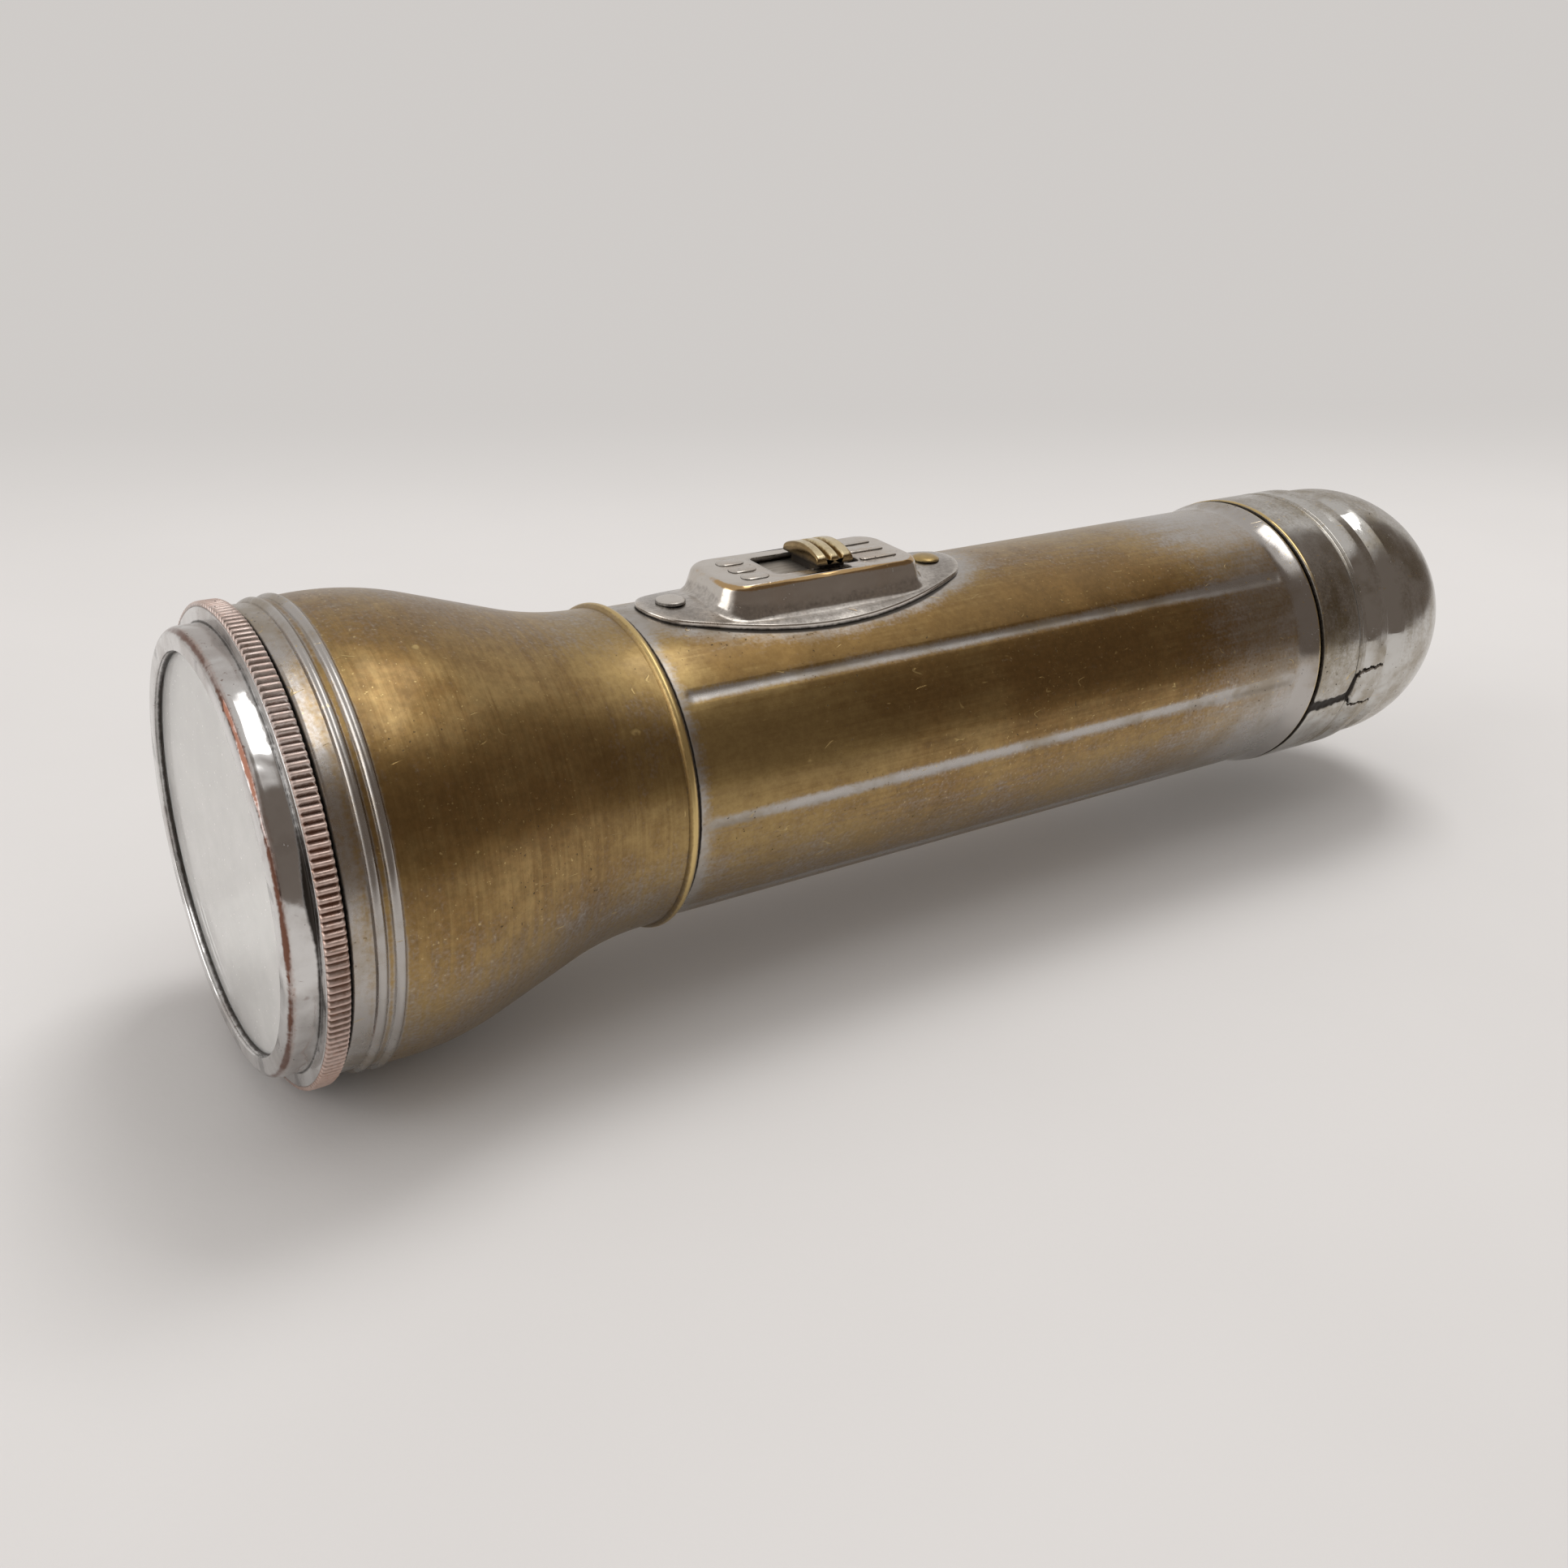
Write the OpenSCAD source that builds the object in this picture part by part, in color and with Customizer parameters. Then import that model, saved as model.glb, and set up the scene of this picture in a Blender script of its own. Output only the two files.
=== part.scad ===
// Two-cell flashlight: screwed lens ring, spun head, fluted barrel, riveted slide switch, bullet tail cap.
// Stations run along the axis from the front face of the lens ring; the origin is at mid-length on the axis,
// +X towards the tail, +Z up through the switch.

/* [Barrel] */
// Room between a cell and the outside of the barrel
cell_room = 2.5; // [2.3:0.1:3.5]
// Thickness of the barrel's sheet
tube_wall = 0.6; // [0.4:0.05:0.8]
// Positions round the barrel that a flute can take; the one under the switch stays plain
flute_count = 8; // [6:1:12]
// Depth of a pressed flute
flute_depth = 0.5; // [0.3:0.05:0.7]
// Radius of the tool that presses a flute
flute_r = 1.0; // [0.8:0.1:1.6]
// Distance of a flute's ends from the neck and from the rear shoulder
flute_margin = 2.2; // [1.6:0.2:8]
// Height of the rolled shoulder in front of the tail cap
shoulder_h = 0.75; // [0.5:0.05:1.2]
// Length of the flare that rises to the shoulder
flare_l = 3.2; // [2:0.2:6]
// Length of the threaded spigot behind the shoulder
spigot_l = 7.2; // [5:0.2:8]
// Length of the barrel that lies inside the head's neck
neck_lap = 6; // [4:0.5:8]

/* [Cells] */
// Diameter of a dry cell
cell_d = 33; // [30:0.5:35]
// Length of a dry cell over its cap
cell_l = 61.5; // [58:0.5:63]
// Diameter of a cell's brass cap
cell_cap_d = 9.5; // [8:0.5:11]
// Height of a cell's brass cap
cell_cap_h = 2.5; // [1.5:0.25:3.5]
// Thickness of a cell's bare zinc end
cell_base_h = 0.6; // [0.4:0.1:1]

/* [Head] */
// Largest diameter of the head's bulge
bell_d = 52.2; // [50:0.2:57]
// How far the plain band at the mouth lies under the bulge
mouth_step = 0.4; // [0.2:0.05:0.8]
// How far the head's neck stands over the barrel
neck_step = 0.35; // [0.2:0.05:0.6]
// Thickness of the head's sheet
bell_wall = 0.6; // [0.4:0.05:0.8]
// Slope of the straight stretch between the two curves of the head
bell_slope = 18; // [15:0.5:24]
// Radius of the head's outward curve
bell_bulge_r = 34; // [26:1:40]
// Radius of the head's inward curve
bell_throat_r = 36; // [26:1:40]
// Length from the mouth to the head's largest diameter
bell_mouth_l = 8.2; // [7.5:0.1:11]
// Radius of the rolled beads
bead_r = 0.6; // [0.4:0.05:0.8]
// How far a bead stands out of the sheet
bead_h = 0.5; // [0.3:0.05:0.6]
// Distance from the mouth to the first bead
bead_first = 2.95; // [2:0.05:3.4]
// Distance between the two beads of the mouth
bead_pitch = 1.85; // [1.7:0.05:2.4]
// Length of the straight collar behind the neck
neck_l = 2.4; // [2.2:0.1:4]

/* [Lens ring] */
// How far the ring's front band lies inside the head's mouth
bezel_inset = 1.3; // [1.1:0.1:1.6]
// Width of the front lip
lip_w = 2.7; // [2.2:0.1:3.5]
// Thickness of the ring's sheet
bezel_wall = 0.6; // [0.4:0.05:0.8]
// Thickness of the lip that holds the lens
lip_t = 0.8; // [0.6:0.1:1.2]
// Rounding of the ring's front corner
bezel_round = 1.2; // [0.8:0.1:1.4]
// Length of the front band
bezel_band_l = 3.25; // [2.5:0.05:5]
// Width of the knurled band
knurl_w = 2.4; // [2:0.1:4]
// How far the knurl's crests stand over the head's mouth
knurl_stand = 0.9; // [0.7:0.1:1.5]
// Depth of the knurl
knurl_depth = 0.4; // [0.2:0.05:0.6]
// Number of ribs in the knurl
knurl_count = 188; // [120:2:200]
// Length of the ring's threaded skirt
skirt_l = 7; // [5:0.5:10]

/* [Optics] */
// Thickness of the lens
lens_t = 2; // [1.5:0.1:3]
// Thickness of the soft ring behind the lens
gasket_t = 1; // [0.6:0.1:1.5]
// Focal length of the reflector
focus_l = 6; // [5:0.25:7]
// How far the reflector's mouth reaches behind the lip
dish_lap = 0.3; // [0.2:0.05:0.5]
// Thickness of the reflector's sheet
dish_wall = 0.5; // [0.3:0.05:0.7]
// Diameter of the hole for the lamp
dish_hole_d = 12.6; // [12:0.2:14]
// Length of the reflector's collar
collar_l = 2.5; // [1.5:0.25:4]
// Diameter of the socket's contact flange
socket_flange_d = 21; // [18:0.5:24]
// Length of the socket's sleeve
socket_l = 8.5; // [6:0.5:9]
// Thickness of the socket's sheet
socket_wall = 0.6; // [0.4:0.05:0.8]
// Thickness of the fibre ring behind the reflector
fibre_t = 1; // [0.6:0.1:1.5]
// Wire of the retaining ring
retainer_wire_d = 1.2; // [0.8:0.1:1.6]

/* [Lamp] */
// Diameter of the lamp's globe
globe_d = 11; // [10:0.2:11.6]
// Thickness of the lamp's glass
globe_wall = 0.5; // [0.3:0.05:0.7]
// Diameter of the lamp's screw shell
shell_d = 9.5; // [9:0.1:10]
// Length of the lamp's screw shell
shell_l = 10; // [8:0.5:12]
// Height of the black glass under the shell
lamp_glass_h = 2.2; // [1.5:0.1:3]
// Diameter of the lamp's solder tip
lamp_tip_d = 3.8; // [3:0.2:4.4]
// Diameter of the filament and of its two supports
filament_d = 0.5; // [0.3:0.05:0.6]
// Spread of the filament's supports
filament_span = 3.6; // [2.5:0.1:4.4]

/* [Switch] */
// Distance from the head's neck to the saddle plate
plate_gap = 2.75; // [2:0.25:8]
// Length of the saddle plate past each end of the housing
plate_end = 7.5; // [7:0.1:9]
// Width of the saddle plate past each side of the housing
plate_side = 1.9; // [1.5:0.1:2.4]
// Radius of the plate's ends
plate_end_r = 5.5; // [4:0.25:6.5]
// Thickness of the plate and of the housing
plate_t = 0.6; // [0.4:0.05:0.7]
// Height of the housing's roof above the barrel
housing_h = 3.2; // [3:0.1:4.5]
// Length of the housing past each end of the slot
housing_end = 9.3; // [9:0.1:11]
// Width of the housing past each side of the shoe
housing_side = 3.1; // [2.8:0.1:3.5]
// How far the housing's walls lean in by the roof
housing_lean = 1.5; // [1:0.1:1.8]
// Rounding of the housing's roof
housing_round = 1.1; // [0.8:0.1:1.4]
// Radius of the housing's corners at its foot
housing_corner_r = 4.2; // [3.4:0.1:5]
// Length of the slot that the button's travel leaves free
slot_slack = 1.7; // [1:0.1:2.5]
// Width of the slot in the roof
slot_w = 6.8; // [6:0.1:7]
// Distance of a rivet from the housing's end
rivet_out = 3.5; // [3.2:0.1:4]
// Diameter of a rivet's shank
rivet_d = 2.4; // [2:0.1:2.8]
// Diameter of a rivet's heads
rivet_head_d = 3.6; // [3.2:0.1:4]
// Height of a rivet's heads
rivet_head_h = 0.6; // [0.4:0.05:0.8]
// Length of a stamped dash on the roof
dash_l = 3.6; // [2.5:0.1:3.8]
// Width of a stamped dash
dash_w = 0.8; // [0.6:0.1:1.2]
// Height of a stamped dash
dash_h = 0.25; // [0.15:0.05:0.35]
// Distance between neighbouring dashes
dash_pitch = 2.9; // [2.4:0.1:3.2]

/* [Thumb slide] */
// Length of the button along the barrel
button_l = 5.2; // [4.8:0.1:6]
// How far the button reaches over each side of the slot
button_lap = 0.4; // [0.3:0.05:0.8]
// Height of the button's side walls
button_side_h = 0.9; // [0.7:0.1:1.5]
// Rise of the button's arched top over its side walls
button_rise = 0.95; // [0.6:0.05:1.3]
// Width of the two grooves across the button
groove_w = 0.5; // [0.3:0.05:0.7]
// Depth of the two grooves across the button
groove_depth = 0.7; // [0.4:0.05:0.8]
// Travel of the button from off to on
slide_travel = 5.5; // [4.5:0.1:5.8]
// Thickness of the shoe that carries the button
shoe_t = 0.8; // [0.6:0.1:1]
// How far the shoe reaches under each side of the slot
shoe_side = 0.7; // [0.5:0.05:0.9]
// Thickness of the contact leaf under the shoe
leaf_t = 0.4; // [0.3:0.05:0.5]
// Width of the contact leaf
leaf_w = 3; // [2:0.25:4]

/* [Contact strip] */
// Width of the strip
strip_w = 9; // [8:0.25:10]
// Thickness of the strip
strip_t = 0.4; // [0.3:0.05:0.5]
// Thickness of the fibre liner over the strip
liner_t = 0.3; // [0.2:0.05:0.4]
// Width of the strip's free arm
arm_w = 5; // [4:0.25:6]
// Diameter at which the arm meets the socket's flange
arm_contact_d = 16; // [15:0.5:17]

/* [Tail] */
// How far the tail cap stands over the barrel
cap_step = 0.85; // [0.8:0.05:1.4]
// Thickness of the cap's sheet
cap_wall = 0.6; // [0.4:0.05:0.8]
// How far the dome lies under the cap's band
dome_step = 0.55; // [0.4:0.05:0.7]
// Length from the cap's rim to the middle of the dome
dome_s = 19; // [18.6:0.2:24]
// How far the rear cell reaches into the tail cap
cell_reach = 10; // [9:0.25:11.5]
// Distance from the rim to the narrow groove
groove1_s = 8.6; // [8.4:0.1:9.6]
// Radius and depth of the narrow groove
groove1 = 0.35; // [0.2:0.05:0.4]
// Distance from the rim to the wide groove
groove2_s = 15; // [14:0.1:15.4]
// Radius of the wide groove
groove2_r = 1.4; // [1.1:0.1:1.6]
// Depth of the wide groove
groove2_depth = 0.9; // [0.7:0.05:1]
// Wire of the spring
spring_wire_d = 1.2; // [0.9:0.1:1.4]
// Radius of the spring's small turn, at its wire's middle
spring_small_r = 6.5; // [5:0.5:9]
// Turns of the spring
spring_turns = 4.5; // [3:0.5:4.5]

/* [Fits] */
// Radial clearance between mating threads
thread_gap = 0.3; // [0.25:0.05:0.4]
// Gap between the lens ring and the head, and between the barrel's shoulder and the tail cap
seam = 0.35; // [0.3:0.05:0.6]
// Clearance between parts that move against each other
run_gap = 0.3; // [0.25:0.05:0.4]
// Clearance between parts that are fixed together
seat_gap = 0.05; // [0.03:0.01:0.08]

/* [Hidden] */
$fn = 96;
// Longer than any cut, and the overshoot of a cut past a face
far = 60;
over = 1;

// Radii of the shells: the barrel follows the cells, the lens ring follows the head
cell_r = cell_d / 2;
tube_r = cell_r + cell_room;
tube_bore_r = tube_r - tube_wall;
neck_r = tube_r + neck_step;
lap_r = neck_r - bell_wall - seat_gap;
lap_bore_r = lap_r - tube_wall;
mouth_r = bell_d / 2 - mouth_step;
bezel_r = mouth_r - bezel_inset;
pocket_r = bezel_r - bezel_wall;
glass_r = bezel_r - lip_w;
knurl_r = mouth_r + knurl_stand;
knurl_root_r = knurl_r - knurl_depth;
skirt_r = mouth_r - bell_wall - thread_gap;
skirt_bore_r = skirt_r - bezel_wall;
dish_r = glass_r + dish_lap;
cap_r = tube_r + cap_step;
spigot_r = cap_r - cap_wall - thread_gap;
spigot_bore_r = spigot_r - tube_wall;
dome_r = cap_r - dome_step;

// Stations of the lens ring and the optics
knurl_s = bezel_band_l;
knurl_end_s = knurl_s + knurl_w;
lens_s = lip_t + run_gap / 2;
gasket_s = lens_s + lens_t + seat_gap;
flange_s = gasket_s + gasket_t + seat_gap;
fibre_s = flange_s + dish_wall + seat_gap;
retainer_s = fibre_s + fibre_t + run_gap + retainer_wire_d / 2;
dish_vertex_s = flange_s + dish_r * dish_r / (4 * focus_l);
dish_hole_s = dish_vertex_s - pow(dish_hole_d / 2, 2) / (4 * focus_l);
collar_end_s = dish_hole_s + collar_l;
socket_s = collar_end_s + seat_gap;
focus_s = dish_vertex_s - focus_l;
shell_lead = 0.8;
shell_s = socket_s - shell_lead;
lamp_glass_s = shell_s + shell_l;
tip_s = lamp_glass_s + lamp_glass_h;
tip_end_s = tip_s + lamp_tip_d / 4;
flange_r = pocket_r - run_gap;

// Stations of the head: the bulge and the throat are arcs, joined by a straight stretch
mouth_s = knurl_end_s + seam;
bulge_s = mouth_s + bell_mouth_l;
bell_rise = (bell_bulge_r + bell_throat_r) * (1 - cos(bell_slope));
bell_straight = (bell_d / 2 - neck_r - bell_rise) / sin(bell_slope);
neck_s = bulge_s + (bell_bulge_r + bell_throat_r) * sin(bell_slope) + bell_straight * cos(bell_slope);
bell_end_s = neck_s + neck_l;
neck_edge = 0.3;
neck_bead_s = bell_end_s - bead_r - neck_edge;

// Stations of the cells, the barrel and the tail
cell_s = [tip_end_s + run_gap, tip_end_s + run_gap + cell_l + seat_gap];
cells_end_s = cell_s[1] + cell_l;
cap_lead = cells_end_s - cell_reach;
shoulder_s = cap_lead - seam;
tube_front_s = bell_end_s - neck_lap;
tube_end_s = shoulder_s + spigot_l;
dome_mid_s = cap_lead + dome_s;
overall_l = dome_mid_s + dome_r;
flute_mid_r = tube_r + flute_r - flute_depth;
cell_drop = min(flute_mid_r - flute_r - tube_wall, lap_bore_r) - cell_r - run_gap;

// Sizes and places of the switch: the slot follows the button, the housing and the plate follow the slot
neck_inset = 0.5;
neck_half = button_l / 2 - neck_inset;
slot_l = 2 * neck_half + slide_travel + 2 * run_gap + slot_slack;
button_w = slot_w + 2 * button_lap;
shoe_w = slot_w + 2 * shoe_side;
housing_l = slot_l + 2 * housing_end;
housing_w = shoe_w + 2 * housing_side;
plate_l = housing_l + 2 * plate_end;
plate_w = housing_w + 2 * plate_side;
rivet_pitch = housing_l + 2 * rivet_out;
switch_s = bell_end_s + plate_gap + plate_l / 2;
plate_r = tube_r + seat_gap;
plate_top_r = plate_r + plate_t;
roof_z = tube_r + housing_h;
foot_sink = 1.9;
foot_z = tube_r - foot_sink;
roof_under_z = roof_z - plate_t;
slot_front_s = switch_s - slot_l / 2;
slot_end_s = switch_s + slot_l / 2;
button_s = slot_front_s + run_gap + slide_travel + neck_half;
button_z = roof_z + run_gap;
shoe_lap = 0.4;
shoe_z = roof_under_z - run_gap - shoe_t;
shoe_front_s = slot_front_s - shoe_lap;
shoe_end_s = slot_end_s + slide_travel + shoe_lap;
window_end = 5;
window_side = 1.2;
window_l = housing_l - 2 * window_end;
window_w = leaf_w + 2 * window_side;

// Places of the contacts: the leaf's tip stands behind the strip's end until the slide moves forward
liner_r = min(lap_bore_r, tube_bore_r) - seat_gap;
strip_r = liner_r - liner_t - seat_gap;
leaf_lead = 2.4;
leaf_off = 2.2;
leaf_tip_s = button_s - leaf_lead;
strip_end_s = leaf_tip_s - leaf_off;
arm_s = min(tube_front_s, cell_s[0] + cell_cap_h) - over;

// Turns a profile drawn as radius and station about the flashlight's axis
module turned(angle = 360) {
    translate([-overall_l / 2, 0, 0])
        rotate([0, 90, 0])
            rotate_extrude(angle = angle)
                children();
}

// A ring in a profile, between two radii and two stations
module band(r0, r1, s0, s1) {
    translate([r0, s0])
        square([r1 - r0, s1 - s0]);
}

// Moves a child that is drawn about station 0 to a station
module at_s(s) {
    translate([s - overall_l / 2, 0, 0])
        children();
}

// Points of an arc, drawn as radius and station; the angle runs from the outward direction to the tail
function arc(mid_r, mid_s, r, a0, a1, n = 14) =
    [for (i = [0 : n]) let (a = a0 + (a1 - a0) * i / n) [mid_r + r * cos(a), mid_s + r * sin(a)]];

// A sheet's outline: a line of points from front to rear, with the sheet's thickness laid on its lower side
function along(line, i) =
    let (d = line[min(i + 1, len(line) - 1)] - line[max(i - 1, 0)]) d / norm(d);
function ribbon(line, t) =
    concat(line, [for (i = [len(line) - 1 : -1 : 0]) let (d = along(line, i)) line[i] + t * [d[1], -d[0]]]);

// Lens ring: lip, front band, hollow rim, threaded skirt
module bezel_ring() {
    color("silver") {
        turned() {
            band(glass_r, bezel_r - bezel_round, 0, lip_t);
            difference() {
                intersection() {
                    translate([bezel_r - bezel_round, bezel_round])
                        circle(bezel_round);
                    band(bezel_r - bezel_round, bezel_r, 0, bezel_round);
                }
                band(0, pocket_r, lip_t, bezel_round + over);
            }
            band(pocket_r, bezel_r, bezel_round, knurl_s + bezel_wall);
            band(pocket_r, knurl_root_r, knurl_s, knurl_s + bezel_wall);
            band(knurl_root_r - bezel_wall, knurl_root_r, knurl_s, knurl_end_s);
            band(skirt_bore_r, knurl_root_r, knurl_end_s - bezel_wall, knurl_end_s);
            band(skirt_bore_r, skirt_r, knurl_end_s - bezel_wall, knurl_end_s + skirt_l);
        }
        at_s(knurl_s)
            rotate([0, 90, 0])
                linear_extrude(knurl_w)
                    difference() {
                        knurl_outline();
                        circle(knurl_root_r - bezel_wall / 2);
                    }
    }
}

// Outline of the knurl: ribs between a root and a crest circle
module knurl_outline() {
    step = 360 / knurl_count;
    polygon([for (i = [0 : knurl_count - 1], k = [0 : 3])
        let (a = (i + k / 4) * step, r = k < 2 ? knurl_r : knurl_root_r) [r * cos(a), r * sin(a)]]);
}

// Split wire ring inside the skirt, behind the reflector's fibre ring
module retaining_ring() {
    color("dimgray")
        turned(350)
            translate([skirt_bore_r - retainer_wire_d / 2 - seat_gap, retainer_s])
                circle(d = retainer_wire_d);
}

// Flat glass with ground edges
module lens() {
    edge = 0.3;
    lens_r = pocket_r - run_gap;
    color("lightcyan")
        turned()
            polygon([
                [0, lens_s], [lens_r - edge, lens_s], [lens_r, lens_s + edge],
                [lens_r, lens_s + lens_t - edge], [lens_r - edge, lens_s + lens_t], [0, lens_s + lens_t]
            ]);
}

// Soft ring between the lens and the reflector
module lens_gasket() {
    color("saddlebrown")
        turned()
            band(dish_r, flange_r, gasket_s, gasket_s + gasket_t);
}

// Parabolic dish: the station falls with the square of the radius; the back is offset along the normal
module reflector() {
    steps = 24;
    hole_r = dish_hole_d / 2;
    radii = [for (i = [0 : steps]) hole_r + (dish_r - hole_r) * i / steps];
    face = [for (r = radii) [r, dish_vertex_s - r * r / (4 * focus_l)]];
    back = [for (i = [steps : -1 : 0])
        let (slope = radii[i] / (2 * focus_l), n = sqrt(1 + slope * slope))
            face[i] + [slope, 1] * dish_wall / n];
    color("whitesmoke")
        turned() {
            polygon(concat(face, back));
            band(dish_r, flange_r, flange_s, flange_s + dish_wall);
            band(hole_r, hole_r + dish_wall, dish_hole_s, collar_end_s);
        }
}

// Fibre ring that keeps the reflector's flange off the metal of the lens ring
module reflector_insulator() {
    color("firebrick")
        turned()
            band(dish_r + 2 * dish_wall, flange_r, fibre_s, fibre_s + fibre_t);
}

// Sleeve for the lamp with the flange that the contact strip touches
module bulb_socket() {
    bore_r = shell_d / 2 + 2 * seat_gap;
    color("goldenrod")
        turned() {
            band(bore_r, socket_flange_d / 2, socket_s, socket_s + socket_wall);
            band(bore_r, bore_r + socket_wall, socket_s, socket_s + socket_l);
        }
}

// Lamp: screw shell, globe, black glass, solder tip and filament
module bulb_base() {
    color("gold")
        turned()
            band(shell_d / 2 - globe_wall, shell_d / 2, shell_s, lamp_glass_s - seat_gap);
}

module bulb_glass() {
    stem_r = shell_d / 2 - globe_wall - seat_gap;
    seal_l = 2;
    color("azure")
        turned()
            difference() {
                union() {
                    intersection() {
                        translate([0, focus_s])
                            circle(d = globe_d);
                        band(0, far, 0, far);
                    }
                    band(0, stem_r, focus_s, shell_s + globe_wall);
                    band(0, stem_r, shell_s, shell_s + seal_l);
                }
                intersection() {
                    translate([0, focus_s])
                        circle(d = globe_d - 2 * globe_wall);
                    band(0, far, 0, far);
                }
                band(0, stem_r - globe_wall, focus_s, shell_s);
            }
}

module bulb_insulator() {
    tip_r = lamp_tip_d / 2 + run_gap;
    color("black")
        turned()
            polygon([
                [0, lamp_glass_s], [shell_d / 2 - globe_wall, lamp_glass_s],
                [tip_r, tip_s - seat_gap], [0, tip_s - seat_gap]
            ]);
}

module bulb_tip() {
    color("lightgray")
        turned()
            polygon([
                [0, tip_s], [lamp_tip_d / 2, tip_s], [lamp_tip_d / 2, tip_s + lamp_tip_d / 12],
                [lamp_tip_d / 3, tip_end_s], [0, tip_end_s]
            ]);
}

module bulb_filament() {
    color("darkgray")
        at_s(focus_s) {
            rotate([90, 0, 0])
                cylinder(h = filament_span + filament_d, d = filament_d, center = true);
            for (side = [-1, 1])
                translate([0, side * filament_span / 2, 0])
                    rotate([0, 90, 0])
                        cylinder(h = shell_s - focus_s, d = filament_d);
        }
}

// Outline of the head at a depth under its outer surface, from the mouth to the neck's end
function bell_line(depth) = concat(
    [[mouth_r - depth, mouth_s], [mouth_r - depth, mouth_s + bead_first + bead_pitch + 2 * bead_r]],
    arc(bell_d / 2 - bell_bulge_r, bulge_s, bell_bulge_r - depth, 0, bell_slope),
    arc(neck_r + bell_throat_r, neck_s, bell_throat_r + depth, 180 + bell_slope, 180),
    [[neck_r - depth, bell_end_s]]
);

// Head: spun trumpet with two rolled beads at its mouth and one at its neck
module head_shell() {
    bead_in = bead_r - bead_h;
    beads = [
        [mouth_r, mouth_s + bead_first],
        [mouth_r, mouth_s + bead_first + bead_pitch],
        [neck_r, neck_bead_s]
    ];
    color("darkgoldenrod")
        turned()
            difference() {
                union() {
                    polygon(concat([[0, mouth_s]], bell_line(0), [[0, bell_end_s]]));
                    for (bead = beads)
                        translate(bead - [bead_in, 0])
                            circle(bead_r, $fn = 24);
                }
                polygon(concat([[0, mouth_s - over], [mouth_r - bell_wall, mouth_s - over]],
                    bell_line(bell_wall), [[neck_r - bell_wall, bell_end_s + over], [0, bell_end_s + over]]));
            }
}

// A row of bars round the barrel, one at each flute, with round ends
module flutes(r) {
    s0 = bell_end_s + flute_margin;
    s1 = shoulder_s - flare_l - flute_margin;
    for (i = [1 : flute_count - 1])
        rotate([i * 360 / flute_count, 0, 0])
            at_s(s0)
                translate([0, 0, flute_mid_r]) {
                    rotate([0, 90, 0])
                        cylinder(h = s1 - s0, r = r, $fn = 24);
                    sphere(r, $fn = 24);
                    translate([s1 - s0, 0, 0])
                        sphere(r, $fn = 24);
                }
}

// Barrel: drawn-in front end, fluted sheet, flared shoulder and threaded spigot, with the switch's window
module body_tube() {
    flare_r = (pow(flare_l, 2) + pow(shoulder_h, 2)) / (2 * shoulder_h);
    flare_angle = asin(flare_l / flare_r);
    flare_s = shoulder_s - flare_l - tube_wall;
    step_s = bell_end_s + seat_gap;
    color("peru")
        difference() {
            turned()
                polygon(concat(
                    [[0, tube_front_s], [lap_r, tube_front_s], [lap_r, step_s], [tube_r, step_s]],
                    arc(tube_r + flare_r, flare_s, flare_r, 180, 180 - flare_angle),
                    [[tube_r + shoulder_h, shoulder_s], [spigot_r, shoulder_s], [spigot_r, tube_end_s],
                    [0, tube_end_s]]
                ));
            flutes(flute_r);
            difference() {
                turned()
                    polygon([
                        [0, tube_front_s - over], [lap_bore_r, tube_front_s - over],
                        [lap_bore_r, step_s + tube_wall], [tube_bore_r, step_s + tube_wall],
                        [tube_bore_r, shoulder_s - tube_wall], [spigot_bore_r, shoulder_s],
                        [spigot_bore_r, tube_end_s + over], [0, tube_end_s + over]
                    ]);
                flutes(flute_r + tube_wall);
            }
            switch_window();
            rivet_holes();
        }
}

// Window in the barrel under the switch's housing
module switch_window() {
    at_s(switch_s)
        translate([-window_l / 2, -window_w / 2, 0])
            cube([window_l, window_w, far]);
}

// Holes for the two rivets
module rivet_holes(d = rivet_d + 2 * seat_gap) {
    for (side = [-1, 1])
        at_s(switch_s + side * rivet_pitch / 2)
            cylinder(h = far, d = d);
}

// Oval of four arcs: two flat side arcs that run into two round ends
module oval(l, w, end_r) {
    reach = l / 2 - end_r;
    half = w / 2;
    side_r = (reach * reach + half * half - end_r * end_r) / (2 * (half - end_r));
    meet = atan2(side_r - half, reach);
    step = (90 - meet) / 8;
    polygon(concat(
        arc(reach, 0, end_r, -meet, meet),
        arc(0, half - side_r, side_r, meet + step, 180 - meet - step),
        arc(-reach, 0, end_r, 180 - meet, 180 + meet),
        arc(0, side_r - half, side_r, 180 + meet + step, 360 - meet - step)
    ));
}

// One turned corner of the housing, at a depth under its surface: the wall leans in and rounds to the roof
module housing_corner(depth) {
    lean = atan(housing_lean / (roof_z - foot_z));
    edge = [
        housing_corner_r - (roof_z - housing_round - foot_z) * tan(lean) - housing_round / cos(lean),
        roof_z - housing_round
    ];
    round_r = housing_round - depth;
    half_turn = (lean + 90) / 2;
    rotate_extrude($fn = 32)
        polygon([
            [0, foot_z], [housing_corner_r - depth / cos(lean), foot_z],
            edge + round_r * [cos(lean), sin(lean)], edge + round_r * [cos(half_turn), sin(half_turn)],
            edge + [0, round_r], [0, edge[1] + round_r]
        ]);
}

// The housing's block at a depth under its surface
module housing_block(depth) {
    half_l = housing_l / 2 - housing_corner_r;
    half_w = housing_w / 2 - housing_corner_r;
    at_s(switch_s)
        hull()
            for (sx = [-1, 1], sy = [-1, 1])
                translate([sx * half_l, sy * half_w, 0])
                    housing_corner(depth);
}

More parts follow.
